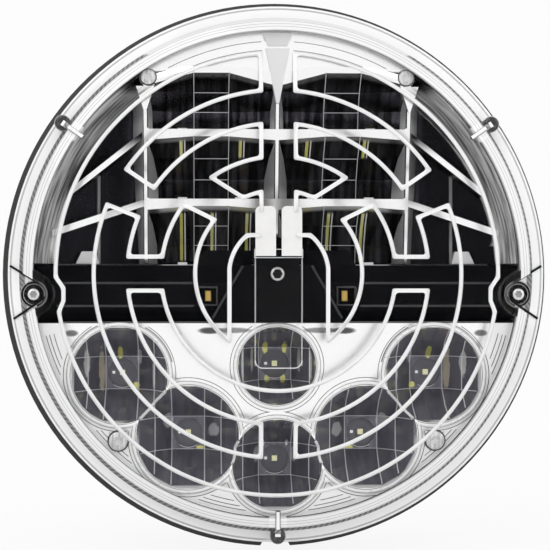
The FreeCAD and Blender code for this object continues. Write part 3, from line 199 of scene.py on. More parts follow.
fingers = []
for turn in nubTurns:
    outward, level = math.cos(turn), math.sin(turn)
    aside = (lensClear.z * outward - lensClear.x * level).size()
    reach = lensClear.x * outward + lensClear.z * level
    fingers.append((1 - aside.past(lensLook["fingerHalf"], 0.1)) * reach.past(lensLook["fingerStart"], 0.2))
finger = sum(fingers) * (1 - lensClear.y.past(lensLook["fingerBack"], 0.2)) * lensLook["finger"]
skirt = (1 - front) * rim.past(lensLook["skirtStart"], 0.15) * lensLook["skirt"]
clearGlass = lensLook["window"] + lensClear.graze(0.45) * lensLook["grazing"]

ripple = (rim * lensLook["ripplePitch"]).maths("SINE").step(0.72, 0.95) * rim.band(*lensLook["ripple"], 0.1)
teeth = (lensClear.turn() * lensLook["knurlTeeth"] + rim * lensLook["knurlSlant"]).maths("SINE")
knurl = teeth.step(-0.5, 0.5).blend(grey(0.17), grey(0.34))
crown = lensClear.z.past(lensLook["crown"], 0.5)
knurled = rim.band(*lensLook["knurl"], 0.1) * (1 - crown * rim.past(lensLook["knurlTop"], 0.05))
lensClear.feed(
    colour=knurled.blend(ripple.blend(grey(0.97), grey(0.55)), knurl),
    rough=0.03 + lensClear.noise(160) * 0.05,
    alpha=veil * front * (1 - opened) + skirt + clearGlass + finger,
)

traceSilver = mottled("traceSilver", 400, grey(0.95), grey(0.86), 0.35, 0.05)
terminalWhite = mottled("terminalWhite", 300, grey(0.9), grey(0.8, (1, 0.99, 0.97)), 0.35)

coverLook = {"window": 0.003, "grazing": 0.3, "edge": 0.35, "half": 7.15}
coverClear = Finish("coverClear", grey(0.9), 0.08)
coverEdge = coverClear.x.size().past(coverLook["half"], 0.15) * coverLook["edge"]
coverClear.feed(
    rough=0.06 + coverClear.noise(200) * 0.04,
    alpha=coverLook["window"] + coverClear.graze(0.5) * coverLook["grazing"] + coverEdge,
)

# The upper reflector is bright on its edges; its bowls are painted dark with faint streaks, a painted reflection of
# the dark that the chrome mirrors
upperLook = {
    "bowl": (0.6, 2.2), "bowlTop": (64.2, 64.8), "cornerSide": (63.5, 64), "cornerTop": (9, 10), "middle": (44, 50),
    "shelves": [(19.5, 27), (41, 49)], "shelfSoft": 2.5, "wall": (71.2, 71.7), "wallTop": (57, 61),
}
upperChrome = Finish("upperChrome", grey(0.8), 0.2, 1.0, gloss=0.2)
depth = upperChrome.y + leanAt(upperChrome.z)
streak = upperChrome.noise(60, 2.0, (9, 1, 0.6))
corner = upperChrome.x.size().step(*upperLook["cornerSide"]) * (1 - upperChrome.z.step(*upperLook["cornerTop"]))
bowl = depth.step(*upperLook["bowl"]).maths("MAXIMUM", corner) * (1 - upperChrome.z.step(*upperLook["bowlTop"]))
# The chrome rib sides are painted grey, lighter near the shelves: a painted reflection
ribSide = upperChrome.facing(smooth=False)[0].size().step(0.8, 0.9)
middle = 1 - upperChrome.x.size().step(*upperLook["middle"])
cloud = streak.step(0.35, 0.75) * middle
darkBowl = cloud.blend(grey(0.008, (0.95, 0.9, 1.1)), grey(0.085, (0.98, 0.92, 1.08)))
nearShelf = sum(upperChrome.z.band(*ends, upperLook["shelfSoft"]) for ends in upperLook["shelves"])
sideGrey = nearShelf.blend(grey(0.36, (0.98, 0.97, 1)), grey(0.8))
inside = ribSide.blend(darkBowl, sideGrey)

# Chips show as tall yellow glints in the bowls: low and high end, then left edges
glintSet = [(4.5, 19.8, (-31.2, -21.2, -9.9, 16.6, 27.7)), (37.7, 43.4, (-31.2, -12.2, 9.2, 27.7))]
glintLook = {"wide": 1.0, "flashFrom": 1.45, "flashTo": 1.9, "soft": 0.12, "softEnd": 0.6}
glints, flashes = [], []
for low, high, edges in glintSet:
    tall = upperChrome.z.band(low, high, glintLook["softEnd"])
    for edge in edges:
        glints.append(upperChrome.x.band(edge, edge + glintLook["wide"], glintLook["soft"]) * tall)
        beside = (edge + glintLook["flashFrom"], edge + glintLook["flashTo"])
        flashes.append(upperChrome.x.band(*beside, glintLook["soft"]) * tall)
glint, flash = sum(glints), sum(flashes)
glintTone = streak.step(0.4, 0.6).blend((0.6, 0.58, 0.14, 1), (0.8, 0.79, 0.4, 1))
inside = flash.blend(glint.blend(inside, glintTone), grey(0.8, (0.98, 0.97, 1)))

# The sloping wall round the bowls is brushed along its arc
wall = upperChrome.radius.step(*upperLook["wall"]) * (1 - upperChrome.z.step(*upperLook["wallTop"]))
brushPlace = wall.node("ShaderNodeCombineXYZ", inputs={0: upperChrome.radius * 0.9, 1: upperChrome.turn() * 2.2})
brush = wall.node("ShaderNodeTexNoise", inputs={"Vector": brushPlace, "Scale": 1.6, "Detail": 4.0})
wallTone = brush.step(0.34, 0.64).blend(grey(0.15), grey(0.78))
plain = (bowl * ribSide.maths("MAXIMUM", glint + flash)).maths("MAXIMUM", wall)
upperChrome.feed(
    colour=wall.blend(bowl.blend(grey(0.95), inside), wallTone),
    rough=0.16 + streak * 0.14,
    metal=1 - plain * 0.9,
)

# The lower reflector is white on its face; its cups are painted dark grey with streaks, a painted reflection of the
# dark that the chrome mirrors
lowerLook = {"cup": (-19.4, -18.2), "rim": (66, 70), "flashLow": 0.5, "leafLow": 0.25}
lowerChrome = Finish("lowerChrome", grey(0.95), 0.2, 1.0, gloss=0.2)
cupDepth = lowerChrome.y.step(*lowerLook["cup"])
cupStreak = lowerChrome.noise(70, 2.0, (7, 1, 0.7))
cupGrey = cupStreak.step(0.3, 0.75).blend(grey(0.16, (0.98, 0.95, 1.14)), grey(0.23, (0.98, 0.96, 1.12)))

# Light and chips are mirrored in the facets as soft flashes: tone, place across and up, half width and height
flashTones = {"white": grey(0.9), "pale": grey(0.75), "beige": (0.85, 0.76, 0.6, 1), "yellow": (0.8, 0.78, 0.26, 1)}
flashSet = [
    ("beige", 56.8, -31.0, 1.1, 7.5), ("white", 61.2, -29.0, 1.0, 5.0), ("white", 39.6, -32.5, 0.5, 5.0),
    ("yellow", 50.8, -25.6, 1.0, 2.4), ("pale", 44.5, -26.7, 0.9, 2.8), ("yellow", 45.4, -36.4, 1.2, 1.1),
    ("pale", 35.2, -47.9, 2.0, 2.6), ("pale", 20.2, -50.9, 2.0, 2.6), ("yellow", 24.4, -57.0, 1.6, 0.6),
    ("white", 11.0, -29.0, 0.45, 5.5), ("pale", 7.7, -28.0, 0.5, 5.0), ("yellow", 3.2, -24.2, 1.0, 2.3),
    ("yellow", 2.6, -34.2, 1.0, 1.7), ("pale", 6.1, -59.2, 1.0, 3.0), ("white", 3.9, -55.4, 0.6, 1.5),
]
ragged = lowerChrome.noise(420) * 1.6 - 0.8
for tint, *oval in flashSet:
    cupGrey = lowerChrome.spot(*oval, lowerLook["flashLow"], ragged).blend(cupGrey, flashTones[tint])

# The band is mirrored in the face as dark leaves: level of grey, place across and up, half width and height
leafSet = [(0.3, 14.0, -18.0, 7.0, 1.1), (0.1, 21.5, -18.1, 4.5, 1.3), (0.2, 65.5, -18.9, 2.6, 1.3)]
faceTone = grey(0.96)
for level, *oval in leafSet:
    faceTone = lowerChrome.spot(*oval, lowerLook["leafLow"]).blend(faceTone, grey(level))
lowerChrome.feed(
    colour=cupDepth.blend(faceTone, cupGrey),
    rough=0.14 + cupStreak * 0.12,
    metal=1 - cupDepth.maths("MAXIMUM", lowerChrome.radius.step(*lowerLook["rim"])) * 0.65,
)

# Beads are painted light in front with painted shade along both flanks
beadBright = Finish("beadBright", grey(0.9), 0.25, 0.2)
beadBright.feed(
    colour=beadBright.facing()[1].size().step(0.45, 0.8).blend(grey(0.1), grey(0.96)),
    rough=0.2 + beadBright.noise(500) * 0.2,
)
# White lines for painted highlights along edges
lineBright = mottled("lineBright", 120, grey(0.95), grey(0.7), 0.3)
tabGrey = mottled("tabGrey", 80, grey(0.8), grey(0.7, (0.99, 0.98, 1)), 0.3, 0.2)
lineDark = mottled("lineDark", 90, grey(0.03), grey(0.12), 0.4)
lineGrey = mottled("lineGrey", 90, grey(0.24), grey(0.45), 0.4)

# Finishes of the plain pieces

bezelTones = (grey(0.001, (0.9, 0.9, 1.3)), grey(0.005, (0.95, 0.92, 1.3)))
bezelBlack = mottled("bezelBlack", 90, *bezelTones, 0.2, bending=1.5, gloss=0.04)
bezelBlack.feed(rough=0.16 + bezelBlack.noise(220) * 0.14)
ridgeBlack = mottled("ridgeBlack", 150, grey(0.045, (0.98, 0.96, 1.08)), grey(0.075), 0.4, gloss=0.15)
nearBlack = mottled("nearBlack", 600, grey(0.006), grey(0.02), 0.5, gloss=0.1)
# The nub heads are painted dark, a painted shade
nubShadeDark = mottled("nubShadeDark", 350, grey(0.006), grey(0.03), 0.06, bending=1.55)
nubShadeDark.feed(rough=0.04 + nubShadeDark.noise(200) * 0.06)

castBlack = mottled("castBlack", 40, grey(0.018), grey(0.032), 0.5, gloss=0.45)
grit = castBlack.noise(900, 4.0)
castBlack.feed(rough=0.36 + grit * 0.2).bump(grit, 0.25, 0.0002)

sealBlack = Finish("sealBlack", grey(0.02), 0.6)
notches = (sealBlack.turn() * 280 + sealBlack.radius * 3).maths("SINE").step(-0.4, 0.4)
sealBlack.feed(colour=notches.blend(grey(0.06), grey(0.42)))

# Screw heads are painted light where they face the front and dark on their sides: painted highlight and painted
# shade
screwSteel = Finish("screwSteel", grey(0.6), 0.3, 0.7)
screwSteel.feed(
    colour=screwSteel.facing()[1].size().step(0.55, 0.9).blend(grey(0.1), grey(0.72)),
    rough=0.22 + screwSteel.noise(300) * 0.2,
)
# The pale screws are likewise painted dark on their sides, a painted shade
screwPale = Finish("screwPale", grey(0.7), 0.35, 0.2)
shine = screwPale.noise(500, 2.0, (3, 1, 0.5)).step(0.35, 0.65).blend(grey(0.55, (1, 0.97, 0.98)), grey(0.85))
screwPale.feed(colour=screwPale.facing()[1].size().step(0.5, 0.85).blend(grey(0.16), shine))

boardWhite = mottled("boardWhite", 250, grey(0.78), grey(0.68), 0.5)
boardTones = (grey(0.27, (0.99, 0.97, 1.1)), grey(0.32, (0.99, 0.97, 1.08)))
boardBlack = mottled("boardBlack", 250, *boardTones, 0.5, gloss=0.2)
# The dots beside the chips have a small painted glow
dotWhite = mottled("dotWhite", 700, grey(0.95), grey(0.85), 0.4, glow=grey(1.0), power=0.4)
boardGreen = mottled("boardGreen", 250, (0.015, 0.1, 0.04, 1), (0.03, 0.16, 0.07, 1), 0.4)

# Chips are yellow on top and pale in front
phosphor = Finish("phosphor", (0.9, 0.85, 0.4, 1), 0.4)
yellow = phosphor.noise(900).blend((0.96, 0.93, 0.55, 1), (0.88, 0.82, 0.3, 1))
phosphor.feed(colour=phosphor.facing(smooth=False)[1].size().step(0.5, 0.8).blend(yellow, grey(0.85)))
# The chips are not lit; their glow is painted light that keeps them bright in the shaded cups
glowTones = ((0.97, 0.95, 0.66, 1), (0.9, 0.87, 0.45, 1))
chipGlow = mottled("chipGlow", 900, *glowTones, 0.4, glow=(0.95, 0.92, 0.55, 1), power=0.35)
# The amber chips have a small painted glow as well
amberTones = ((0.95, 0.7, 0.2, 1), (0.9, 0.58, 0.1, 1))
amber = mottled("amber", 900, *amberTones, 0.4, glow=(0.95, 0.62, 0.16, 1), power=0.35)

milledMetal = Finish("milledMetal", grey(0.6), 0.35, 1.0)
milledMetal.feed(rough=0.3 + milledMetal.noise(300, 3.0, (1, 6, 1)) * 0.2)
softGrey = mottled("softGrey", 300, grey(0.22), grey(0.3), 0.7)
brassPlate = Finish("brassPlate", (0.72, 0.5, 0.2, 1), 0.3, 1.0)
brassPlate.feed(rough=0.24 + brassPlate.noise(400) * 0.16)
mouldBlack = Finish("mouldBlack", grey(0.025), 0.5)
mouldGrain = mouldBlack.noise(1200, 2.0)
mouldBlack.feed(rough=0.42 + mouldGrain * 0.2).bump(mouldGrain, 0.15, 0.0001)
print("finishes made")

nodeFinish = {
    "outer_lens": lensClear, "lens_screws": screwSteel, "lens_seal": sealBlack, "front_frame": castBlack,
    "body_seal": sealBlack, "rear_body": castBlack, "heater_circuit_outer": traceSilver,
    "heater_circuit_inner": traceSilver, "terminal_pad_left": terminalWhite, "terminal_pad_right": terminalWhite,
    "terminal_cover": coverClear, "upper_reflector": upperChrome, "lower_reflector": lowerChrome,
    "reflector_screws": screwSteel, "center_bezel": bezelBlack, "bezel_screw": screwSteel,
    "upper_led_boards": boardWhite, "upper_leds": phosphor, "lower_led_board": boardBlack, "lower_leds": phosphor,
    "thermal_pad": softGrey, "position_led_board": boardWhite, "position_leds": amber,
    "heat_spreader": milledMetal, "spreader_screws": screwSteel, "driver_board": boardGreen,
    "driver_screws": screwSteel, "driver_inductor": mouldBlack, "driver_capacitors": milledMetal,
    "heater_contacts": brassPlate, "connector_gasket": sealBlack, "connector_body": mouldBlack,
    "connector_blades": brassPlate, "breather_vent": mouldBlack,
}
for name, look in nodeFinish.items():
    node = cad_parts[name]
    node.data.materials.clear()
    node.data.materials.append(look.material)


# Making pieces: plain forms first

def addPiece(name, mesh):
    piece = bpy.data.objects.new(name, mesh)
    bpy.context.collection.objects.link(piece)
    return piece


def seat(piece, node=None):
    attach(piece, "root")
    if node:
        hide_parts(node)
    return piece


def addPlain(name, mesh, look, node=None):
    mesh.materials.clear()
    mesh.materials.append(look.material)
    return seat(addPiece(name, mesh), node)


def meshFrom(form, name, smooth=False):
    mesh = bpy.data.meshes.new(name)
    form.to_mesh(mesh)
    form.free()
    if smooth:
        mesh.shade_smooth()
    return mesh


def ringForm(rings, closed=False):                  # a skin over rings of points, its ends capped or joined
    form = bmesh.new()
    loops = [[form.verts.new(Vector(place) * mm) for place in ring] for ring in rings]
    for near, far in zip(loops, loops[1:] + (loops[:1] if closed else [])):
        for k in range(max(len(near), len(far))):
            corners = [near[k % len(near)], near[(k + 1) % len(near)], far[(k + 1) % len(far)], far[k % len(far)]]
            form.faces.new(list(dict.fromkeys(corners)))
    for loop in (loops[0], loops[-1]):
        if len(loop) > 2 and not closed:
            form.faces.new(loop)
    bmesh.ops.recalc_face_normals(form, faces=form.faces)
    return form


def roundRing(reach, depth, lobe=0.0, sides=36):    # a ring about Y with six lobes, or its middle
    if not reach:
        return [(0, depth, 0)]
    turns = [2 * math.pi * k / sides for k in range(sides)]
    spans = [reach + lobe * math.cos(6 * turn) for turn in turns]
    return [(span * math.cos(turn), depth, span * math.sin(turn)) for span, turn in zip(spans, turns)]


def plateMesh(name, outline, front, back, soft):    # a plate with softened edges, facing -Y
    form = ringForm([[(x, y, z) for x, z in outline] for y in (front, back)])
    bmesh.ops.bevel(form, geom=form.edges[:], offset=soft * mm, segments=2, profile=0.6, affect="EDGES")
    return meshFrom(form, name)


def rectangle(left, right, low, high):
    return [(left, low), (right, low), (right, high), (left, high)]


def arc(centre, reach, first, last, y):             # points on a round line, angles in degrees
    turns = [math.radians(first + (last - first) * k / 180) for k in range(181)]
    return [(centre[0] + reach * math.cos(turn), y, centre[1] + reach * math.sin(turn)) for turn in turns]


def mirrored(lines):                                # lines on both sides of the middle
    return lines + [[(-x, y, z) for x, y, z in line] for line in lines]


# Geometry trees, hardened to plain meshes

def openTree(name, sockets):
    tree = bpy.data.node_groups.new(name, "GeometryNodeTree")
    tree.interface.new_socket("Geometry", in_out="INPUT", socket_type="NodeSocketGeometry")
    keys = {label: tree.interface.new_socket(label, in_out="INPUT", socket_type=kind).identifier
            for label, kind in sockets.items()}
    tree.interface.new_socket("Geometry", in_out="OUTPUT", socket_type="NodeSocketGeometry")
    entry = tree.nodes.new("NodeGroupInput")
    given = {socket.name: Wire(tree, socket) for socket in entry.outputs if socket.name}
    return tree, Wire(tree), given, keys


def closeTree(tree, shape, finish):
    real = shape.node("GeometryNodeRealizeInstances", inputs={0: shape})
    painted = shape.node("GeometryNodeSetMaterial", inputs={"Geometry": real, "Material": finish})
    leave = tree.nodes.new("NodeGroupOutput")
    tree.links.new(painted.socket, leave.inputs[0])


def rowTree():                                      # a shape repeated on points
    sockets = {"Shape": "NodeSocketObject", "Finish": "NodeSocketMaterial"}
    tree, start, given, keys = openTree("rowOfShapes", sockets)
    shape = start.node("GeometryNodeObjectInfo", inputs={"Object": given["Shape"]}, out=4)
    spots = start.node("GeometryNodeMeshToPoints", inputs={"Mesh": given["Geometry"]})
    row = start.node("GeometryNodeInstanceOnPoints", inputs={"Points": spots, "Instance": shape})
    closeTree(tree, row, given["Finish"])
    return tree, keys


def beadTree():                                     # a round bead along each line
    sockets = {"Thickness": "NodeSocketFloat", "Finish": "NodeSocketMaterial"}
    tree, start, given, keys = openTree("beadAlongLines", sockets)
    ring = start.node("GeometryNodeCurvePrimitiveCircle", inputs={"Resolution": 6, "Radius": given["Thickness"]})
    path = start.node("GeometryNodeMeshToCurve", inputs={"Mesh": given["Geometry"]})
    tube = start.node("GeometryNodeCurveToMesh", inputs={"Curve": path, "Profile Curve": ring, "Fill Caps": True})
    smooth = start.node("GeometryNodeSetShadeSmooth", inputs={"Geometry": tube})
    closeTree(tree, smooth, given["Finish"])
    return tree, keys


rowShape, rowKeys = rowTree()
beadShape, beadKeys = beadTree()


def shaped(worker):                                 # the mesh that a worker's modifiers make
    bpy.context.view_layer.update()
    graph = bpy.context.evaluated_depsgraph_get()
    mesh = bpy.data.meshes.new_from_object(worker.evaluated_get(graph), depsgraph=graph)
    bpy.data.objects.remove(worker)
    return mesh


def harden(name, host, tree, keys, values):
    worker = addPiece(name + "Work", host)
    shaper = worker.modifiers.new("shape", "NODES")
    shaper.node_group = tree
    for label, value in values.items():
        shaper[keys[label]] = value
    return addPiece(name, shaped(worker))


def runs(name, lines):                              # a mesh of open lines, or of loose points
    mesh = bpy.data.meshes.new(name)
    places, edges = [], []
    for line in lines:
        first = len(places)
        places += [Vector(place) * mm for place in line]
        edges += [(first + k, first + k + 1) for k in range(len(line) - 1)]
    mesh.from_pydata(places, edges, [])
    return mesh


def addBeads(name, lines, thickness, look):
    values = {"Thickness": thickness * mm, "Finish": look.material}
    return seat(harden(name, runs(name, lines), beadShape, beadKeys, values))


def addRow(name, places, shape, look, node=None):
    source = addPiece(name + "Source", shape)
    values = {"Shape": source, "Finish": look.material}
    piece = harden(name, runs(name, [[place] for place in places]), rowShape, rowKeys, values)
    bpy.data.objects.remove(source)
    piece.data.set_sharp_from_angle(angle=math.radians(35))
    return seat(piece, node)


# Screws with a lobed recess, a dished floor in it and a ridged shank

screwSet = {
    "head": 2.5, "tall": 1.8, "dome": [(0.78, 0.06), (0.94, 0.3), (1.0, 0.75)],
    "socket": 1.15, "lobe": 0.16, "deep": 1.0, "taper": 0.94, "rim": 0.05, "chamfer": 0.12,
    "shank": 1.3, "length": 29.1, "pitch": 0.8, "root": 0.84, "neck": 0.4,
    "plain": 1.2, "tip": [(0.8, 0.5), (0.4, 0.0)],
    "floorUp": 0.3, "floor": [(1.0, 0.5), (1.0, 0.0), (0.55, 0.2)],
}
sideSet = dict(screwSet, head=1.95, socket=1.05, lobe=0.12, length=7.0)
bandScrewSet = dict(screwSet, head=2.25, socket=1.5, lobe=0.1, length=7.0)
lowerSet = dict(screwSet, head=3.1, socket=1.3, lobe=0.2, length=26.1)


def screwMesh(part):
    top, head, shank, socket, length = -part["tall"], part["head"], part["shank"], part["socket"], part["length"]
    rings = [roundRing(socket * part["taper"], top + part["deep"], part["lobe"])]
    rings.append(roundRing(socket, top + part["rim"], part["lobe"]))
    profile = [(socket + part["chamfer"], top)] + [(head * share, top + drop) for share, drop in part["dome"]]
    profile += [(head, 0.0), (shank, 0.0)]
    place = part["neck"]
    while place < length - part["plain"]:
        profile += [(shank, place), (shank * part["root"], place + part["pitch"] / 2)]
        place += part["pitch"]
    profile += [(shank * share, length - short) for share, short in part["tip"]]
    return meshFrom(ringForm(rings + [roundRing(*spot) for spot in profile]), "screw", smooth=True)


def addScrews(name, part, places, look, floor, node=None):
    addRow(name, places, screwMesh(part), look, node)
    bottoms = [(x, y - part["tall"] + part["floorUp"], z) for x, y, z in places]
    rings = [roundRing(part["socket"] * share, deep, part["lobe"] * share) for share, deep in part["floor"]]
    addRow(name + "Floors", bottoms, meshFrom(ringForm(rings), "recess"), floor)


def pair(place):
    x, y, z = place
    return [(-x, y, z), (x, y, z)]


# The recess floors of the side and band screws are painted darker than the heads, a painted shade in the recesses
addScrews("sideScrews", sideSet, pair(screwSeats["side"]), screwSteel, lineGrey, "lens_screws")
addScrews("bandScrew", bandScrewSet, [screwSeats["band"]], screwSteel, nearBlack, "bezel_screw")
addScrews("upperScrews", screwSet, pair(screwSeats["upper"]), screwPale, tabGrey, "reflector_screws")
addScrews("lowerScrews", lowerSet, pair(screwSeats["lower"]), screwPale, tabGrey)
print("screws made")


# White lines where the facets of the cups meet and along their ridges and chip holes, painted highlights of these
# edges, and beads around their mouths with grey contour lines on their flanks as painted shade

cupSet = {
    "facet": 5.4, "floor": 0.8, "face": -20.0, "top": -16.0, "board": 3.0,
    "column": 0.21, "row": 0.15, "ridge": 0.5, "hole": 4.9, "holeArc": (235, 305),
    "mouth": 0.85, "mouthUp": 0.3, "contour": 0.1, "contourAway": (0.25, 1.45), "contourUp": 0.9,
    "shade": 0.3, "shadeAway": 1.7, "shadeArcs": ((14, 62), (114, 150)),
    "step": 0.12, "stepUp": 0.03, "stepTop": -16.6, "stepAway": 2.5, "stepClear": 2.3,
    "rimSteps": (73.6, 75.0, 76.1), "rimArc": (195, 345), "rimClear": 3.1,
    "wallClear": -0.1, "wallHidden": 0.02, "mouthClear": 0.5,
    "ridgeAlong": (401, 0.08), "ridgeAside": (60, 0.25), "ridgeUp": 0.6,
    "cups": [(0, -29.4, 12.5), (-50.2, -32.3, 15.4), (50.2, -32.3, 15.4),
             (-28.5, -52.1, 16.5), (28.5, -52.1, 16.5), (0, -60.8, 14.4)],
    "neighbours": [(1, 3), (2, 4), (3, 5), (4, 5)],
}


def cupRise(cup, away):
    facet, radius = cupSet["facet"], cup[2]
    focus = (radius ** 2 - facet ** 2) / (4 * (cupSet["floor"] - cupSet["face"]))
    marks = [facet, 2 * facet, radius + facet / 2]
    heights = [mark ** 2 / (4 * focus) for mark in marks]
    away = abs(away)
    if away <= marks[0]:
        return 0.0
    for k in (0, 1):
        if away <= marks[k + 1]:
            share = (away - marks[k]) / (marks[k + 1] - marks[k])
            return heights[k] + (heights[k + 1] - heights[k]) * share - heights[0]
    return heights[2] - heights[0]


def cupDepthAt(cup, x, z):                          # where the bowl's wall stands behind a spot
    return cupSet["floor"] - cupRise(cup, x - cup[0]) - cupRise(cup, z - cup[1])


def inMouth(cup, x, z, margin=0.0):
    return (x - cup[0]) ** 2 + (z - cup[1]) ** 2 < (cup[2] + margin) ** 2


def clearOf(cups, spot, margin):
    return not any(inMouth(cup, spot[0], spot[2], margin) for cup in cups)


def clipRuns(spots, keep):                          # the stretches of a line that are kept
    found, run = [], []
    for spot in spots:
        if keep(spot):
            run.append(spot)
        else:
            found.append(run)
            run = []
    return [line for line in found + [run] if len(line) > 2]


def cupLines():
    columns, rows, mouths, contours = [], [], [], []
    for cup in cupSet["cups"]:
        others = [other for other in cupSet["cups"] if other is not cup]

        def onWall(spot):
            x, y, z = spot
            if not inMouth(cup, x, z, cupSet["wallClear"]) or y < cupSet["face"]:
                return False
            cut = y + cupSet["wallHidden"]
            return not any(inMouth(other, x, z) and cupDepthAt(other, x, z) > cut for other in others)

        def onMouth(spot):
            return spot[2] < cupSet["top"] and clearOf(others, spot, cupSet["mouthClear"])

        def wallLine(spots):
            return clipRuns([(x, cupDepthAt(cup, x, z), z) for x, z in spots], onWall)

        steps = [cup[2] * (k / 40 - 1) for k in range(81)]
        for mark in (-2, -1, 1, 2):
            line = mark * cupSet["facet"]
            columns += wallLine([(cup[0] + line, cup[1] + step) for step in steps])
            if abs(mark) == 1:
                rows += wallLine([(cup[0] + step, cup[1] + line) for step in steps])
        crest = cupSet["face"] - cupSet["mouthUp"]
        mouths += clipRuns(arc(cup, cup[2] + cupSet["mouth"], 0, 360, crest), onMouth)
        for away in cupSet["contourAway"]:
            contours += clipRuns(arc(cup, cup[2] + away, 0, 360, cupSet["face"] - cupSet["contourUp"]), onMouth)
    return columns, rows, mouths, contours


def ridgeLine(one, two):                            # where two neighbouring bowls cut into each other
    way = Vector((two[0] - one[0], two[1] - one[1])).normalized()
    side = Vector((-way.y, way.x))
    (tries, stride), (half, pitch) = cupSet["ridgeAlong"], cupSet["ridgeAside"]
    line = []
    for k in range(-half, half + 1):
        best = None
        for j in range(tries):
            spot = Vector(one[:2]) + way * (j * stride) + side * (k * pitch)
            gap = abs(cupDepthAt(one, *spot) - cupDepthAt(two, *spot))
            if inMouth(one, *spot) and inMouth(two, *spot) and (best is None or gap < best[0]):
                best = (gap, spot)
        if best and cupDepthAt(one, *best[1]) > cupSet["face"] - cupSet["ridgeUp"]:
            line.append((best[1].x, max(cupSet["face"], cupDepthAt(one, *best[1])), best[1].y))
    return line


def faceLines():                                    # fine steps on the face, beside the cups and along the rim
    cups, front = cupSet["cups"], cupSet["face"] - cupSet["stepUp"]
    rings = [(arc(cup, cup[2] + cupSet["stepAway"], 0, 360, front), cupSet["stepClear"]) for cup in cups]
    rings += [(arc((0, 0), reach, *cupSet["rimArc"], front), cupSet["rimClear"]) for reach in cupSet["rimSteps"]]
    found = []
    for ring, margin in rings:
        found += clipRuns(ring, lambda spot: spot[2] < cupSet["stepTop"] and clearOf(cups, spot, margin))
    return found


cups, leftCup = cupSet["cups"], cupSet["cups"][1]
columns, rows, mouths, contours = cupLines()
ridges = [ridgeLine(cups[first], cups[second]) for first, second in cupSet["neighbours"]]
shadeFront = cupSet["face"] - cupSet["mouthUp"]
shades = [arc(leftCup, leftCup[2] + cupSet["shadeAway"], *ends, shadeFront) for ends in cupSet["shadeArcs"]]
holeEdges = [arc(cup, cupSet["hole"], *cupSet["holeArc"], cupSet["floor"]) for cup in cups]
addBeads("cupColumns", columns, cupSet["column"], lineBright)
addBeads("cupRows", rows, cupSet["row"], lineBright)
addBeads("cupMouths", mouths, cupSet["mouth"], beadBright)
addBeads("mouthContours", contours, cupSet["contour"], lineGrey)
addBeads("cupRidges", ridges, cupSet["ridge"], lineBright)
addBeads("mouthShades", mirrored(shades), cupSet["shade"], lineDark)
addBeads("faceSteps", faceLines(), cupSet["step"], lineDark)
addBeads("holeEdges", holeEdges, cupSet["row"], lineBright)
print("cup lines made:", len(columns), len(rows), len(mouths), len(ridges))


# White facet lines in the bays of the upper reflector, painted highlights of the facet edges: low end, high end and
# spread of each tier

baySet = {"middle": 21.0, "facet": 5.6, "focus": 5.0, "line": 0.12,
          "tiers": [(3.4, 22.0, 12), (24.5, 44.0, 12), (46.5, 64.0, 4)]}


def bayLines():
    found, facet, bend = [], baySet["facet"], 4 * baySet["focus"]
    for middle in (-baySet["middle"], baySet["middle"]):
        for low, high, spread in baySet["tiers"]:
            rises = [(high - low) * k / 3 for k in range(4)]
            back = (high - low) ** 2 / bend - leanAt(high) - facet ** 2 / (bend * spread)
            levels = [(low + rise, back - rise ** 2 / bend) for rise in rises]
            for x in (middle - facet, middle + facet):
                found.append([(x, y, z) for z, y in levels])
            for z, y in levels[1:3]:
                found.append([(middle + step * facet, y, z) for step in (-1, 0, 1)])
    return found


addBeads("bayLines", bayLines(), baySet["line"], lineBright)
print("bay lines made")


# Raised lines on the black band, the dark edges of the lens notches and the wells of the screws

bandSet = {
    "front": -22.0, "panel": -23.2, "foot": -17.05, "start": -70,
    "ridge": 0.42, "ridgeLevels": (-2.9, -10.2), "ridgeRun": (1.5, 30),
    "edge": 0.16, "edgeLevel": -15.35, "edgeRun": (2, 28), "diagonal": [(-11.0, 2.6), (-15.8, -5.7), (-20.6, -14.1)],
    "window": [(-25.0, -4.2), (-19.2, -4.2), (-19.2, -9.9), (-25.0, -9.9), (-25.0, -4.2)],
}
notchSet = {"front": -20.2, "thick": 0.4, "lines": [[(-85.0, 2.6), (-80.3, -0.3), (-75.5, -3.2)],
                                                    [(-83.8, -14.3), (-78.8, -10.9), (-73.8, -7.4)]]}
wellSet = {"fine": [("side", 3.3, -20.05), ("side", 4.2, -20.05), ("upper", 2.75, -23.05)], "fineLine": 0.14,
           "bold": [("lower", 3.2, -20.1)], "boldLine": 0.3}


def levelLine(step, count, y, z):
    return [(bandSet["start"] + step * k, y, z) for k in range(count)]


def standing(line, y):
    return [(x, y, z) for x, z in line]


def wellRings(rings):
    places = [(screwSeats[name], reach, y) for name, reach, y in rings]
    return mirrored([arc((-place[0], place[2]), reach, 0, 360, y) for place, reach, y in places])


bandRidges = [levelLine(*bandSet["ridgeRun"], bandSet["front"], z) for z in bandSet["ridgeLevels"]]
bandRidges += [standing(bandSet["diagonal"], bandSet["panel"]), standing(bandSet["window"], bandSet["front"])]
bandEdges = [levelLine(*bandSet["edgeRun"], bandSet["foot"], bandSet["edgeLevel"])]
notchEdges = [standing(line, notchSet["front"]) for line in notchSet["lines"]]
addBeads("bandRidges", mirrored(bandRidges), bandSet["ridge"], ridgeBlack)
addBeads("bandEdges", mirrored(bandEdges), bandSet["edge"], lineGrey)
addBeads("notchEdges", mirrored(notchEdges), notchSet["thick"], nearBlack)
addBeads("screwWells", wellRings(wellSet["fine"]), wellSet["fineLine"], lineGrey)
addBeads("lowerScrewWells", wellRings(wellSet["bold"]), wellSet["boldLine"], lineDark)
print("band lines made")


# Clear clip across the terminal pads and the rounded end of the cover, their edges drawn as white lines that are
# painted highlights

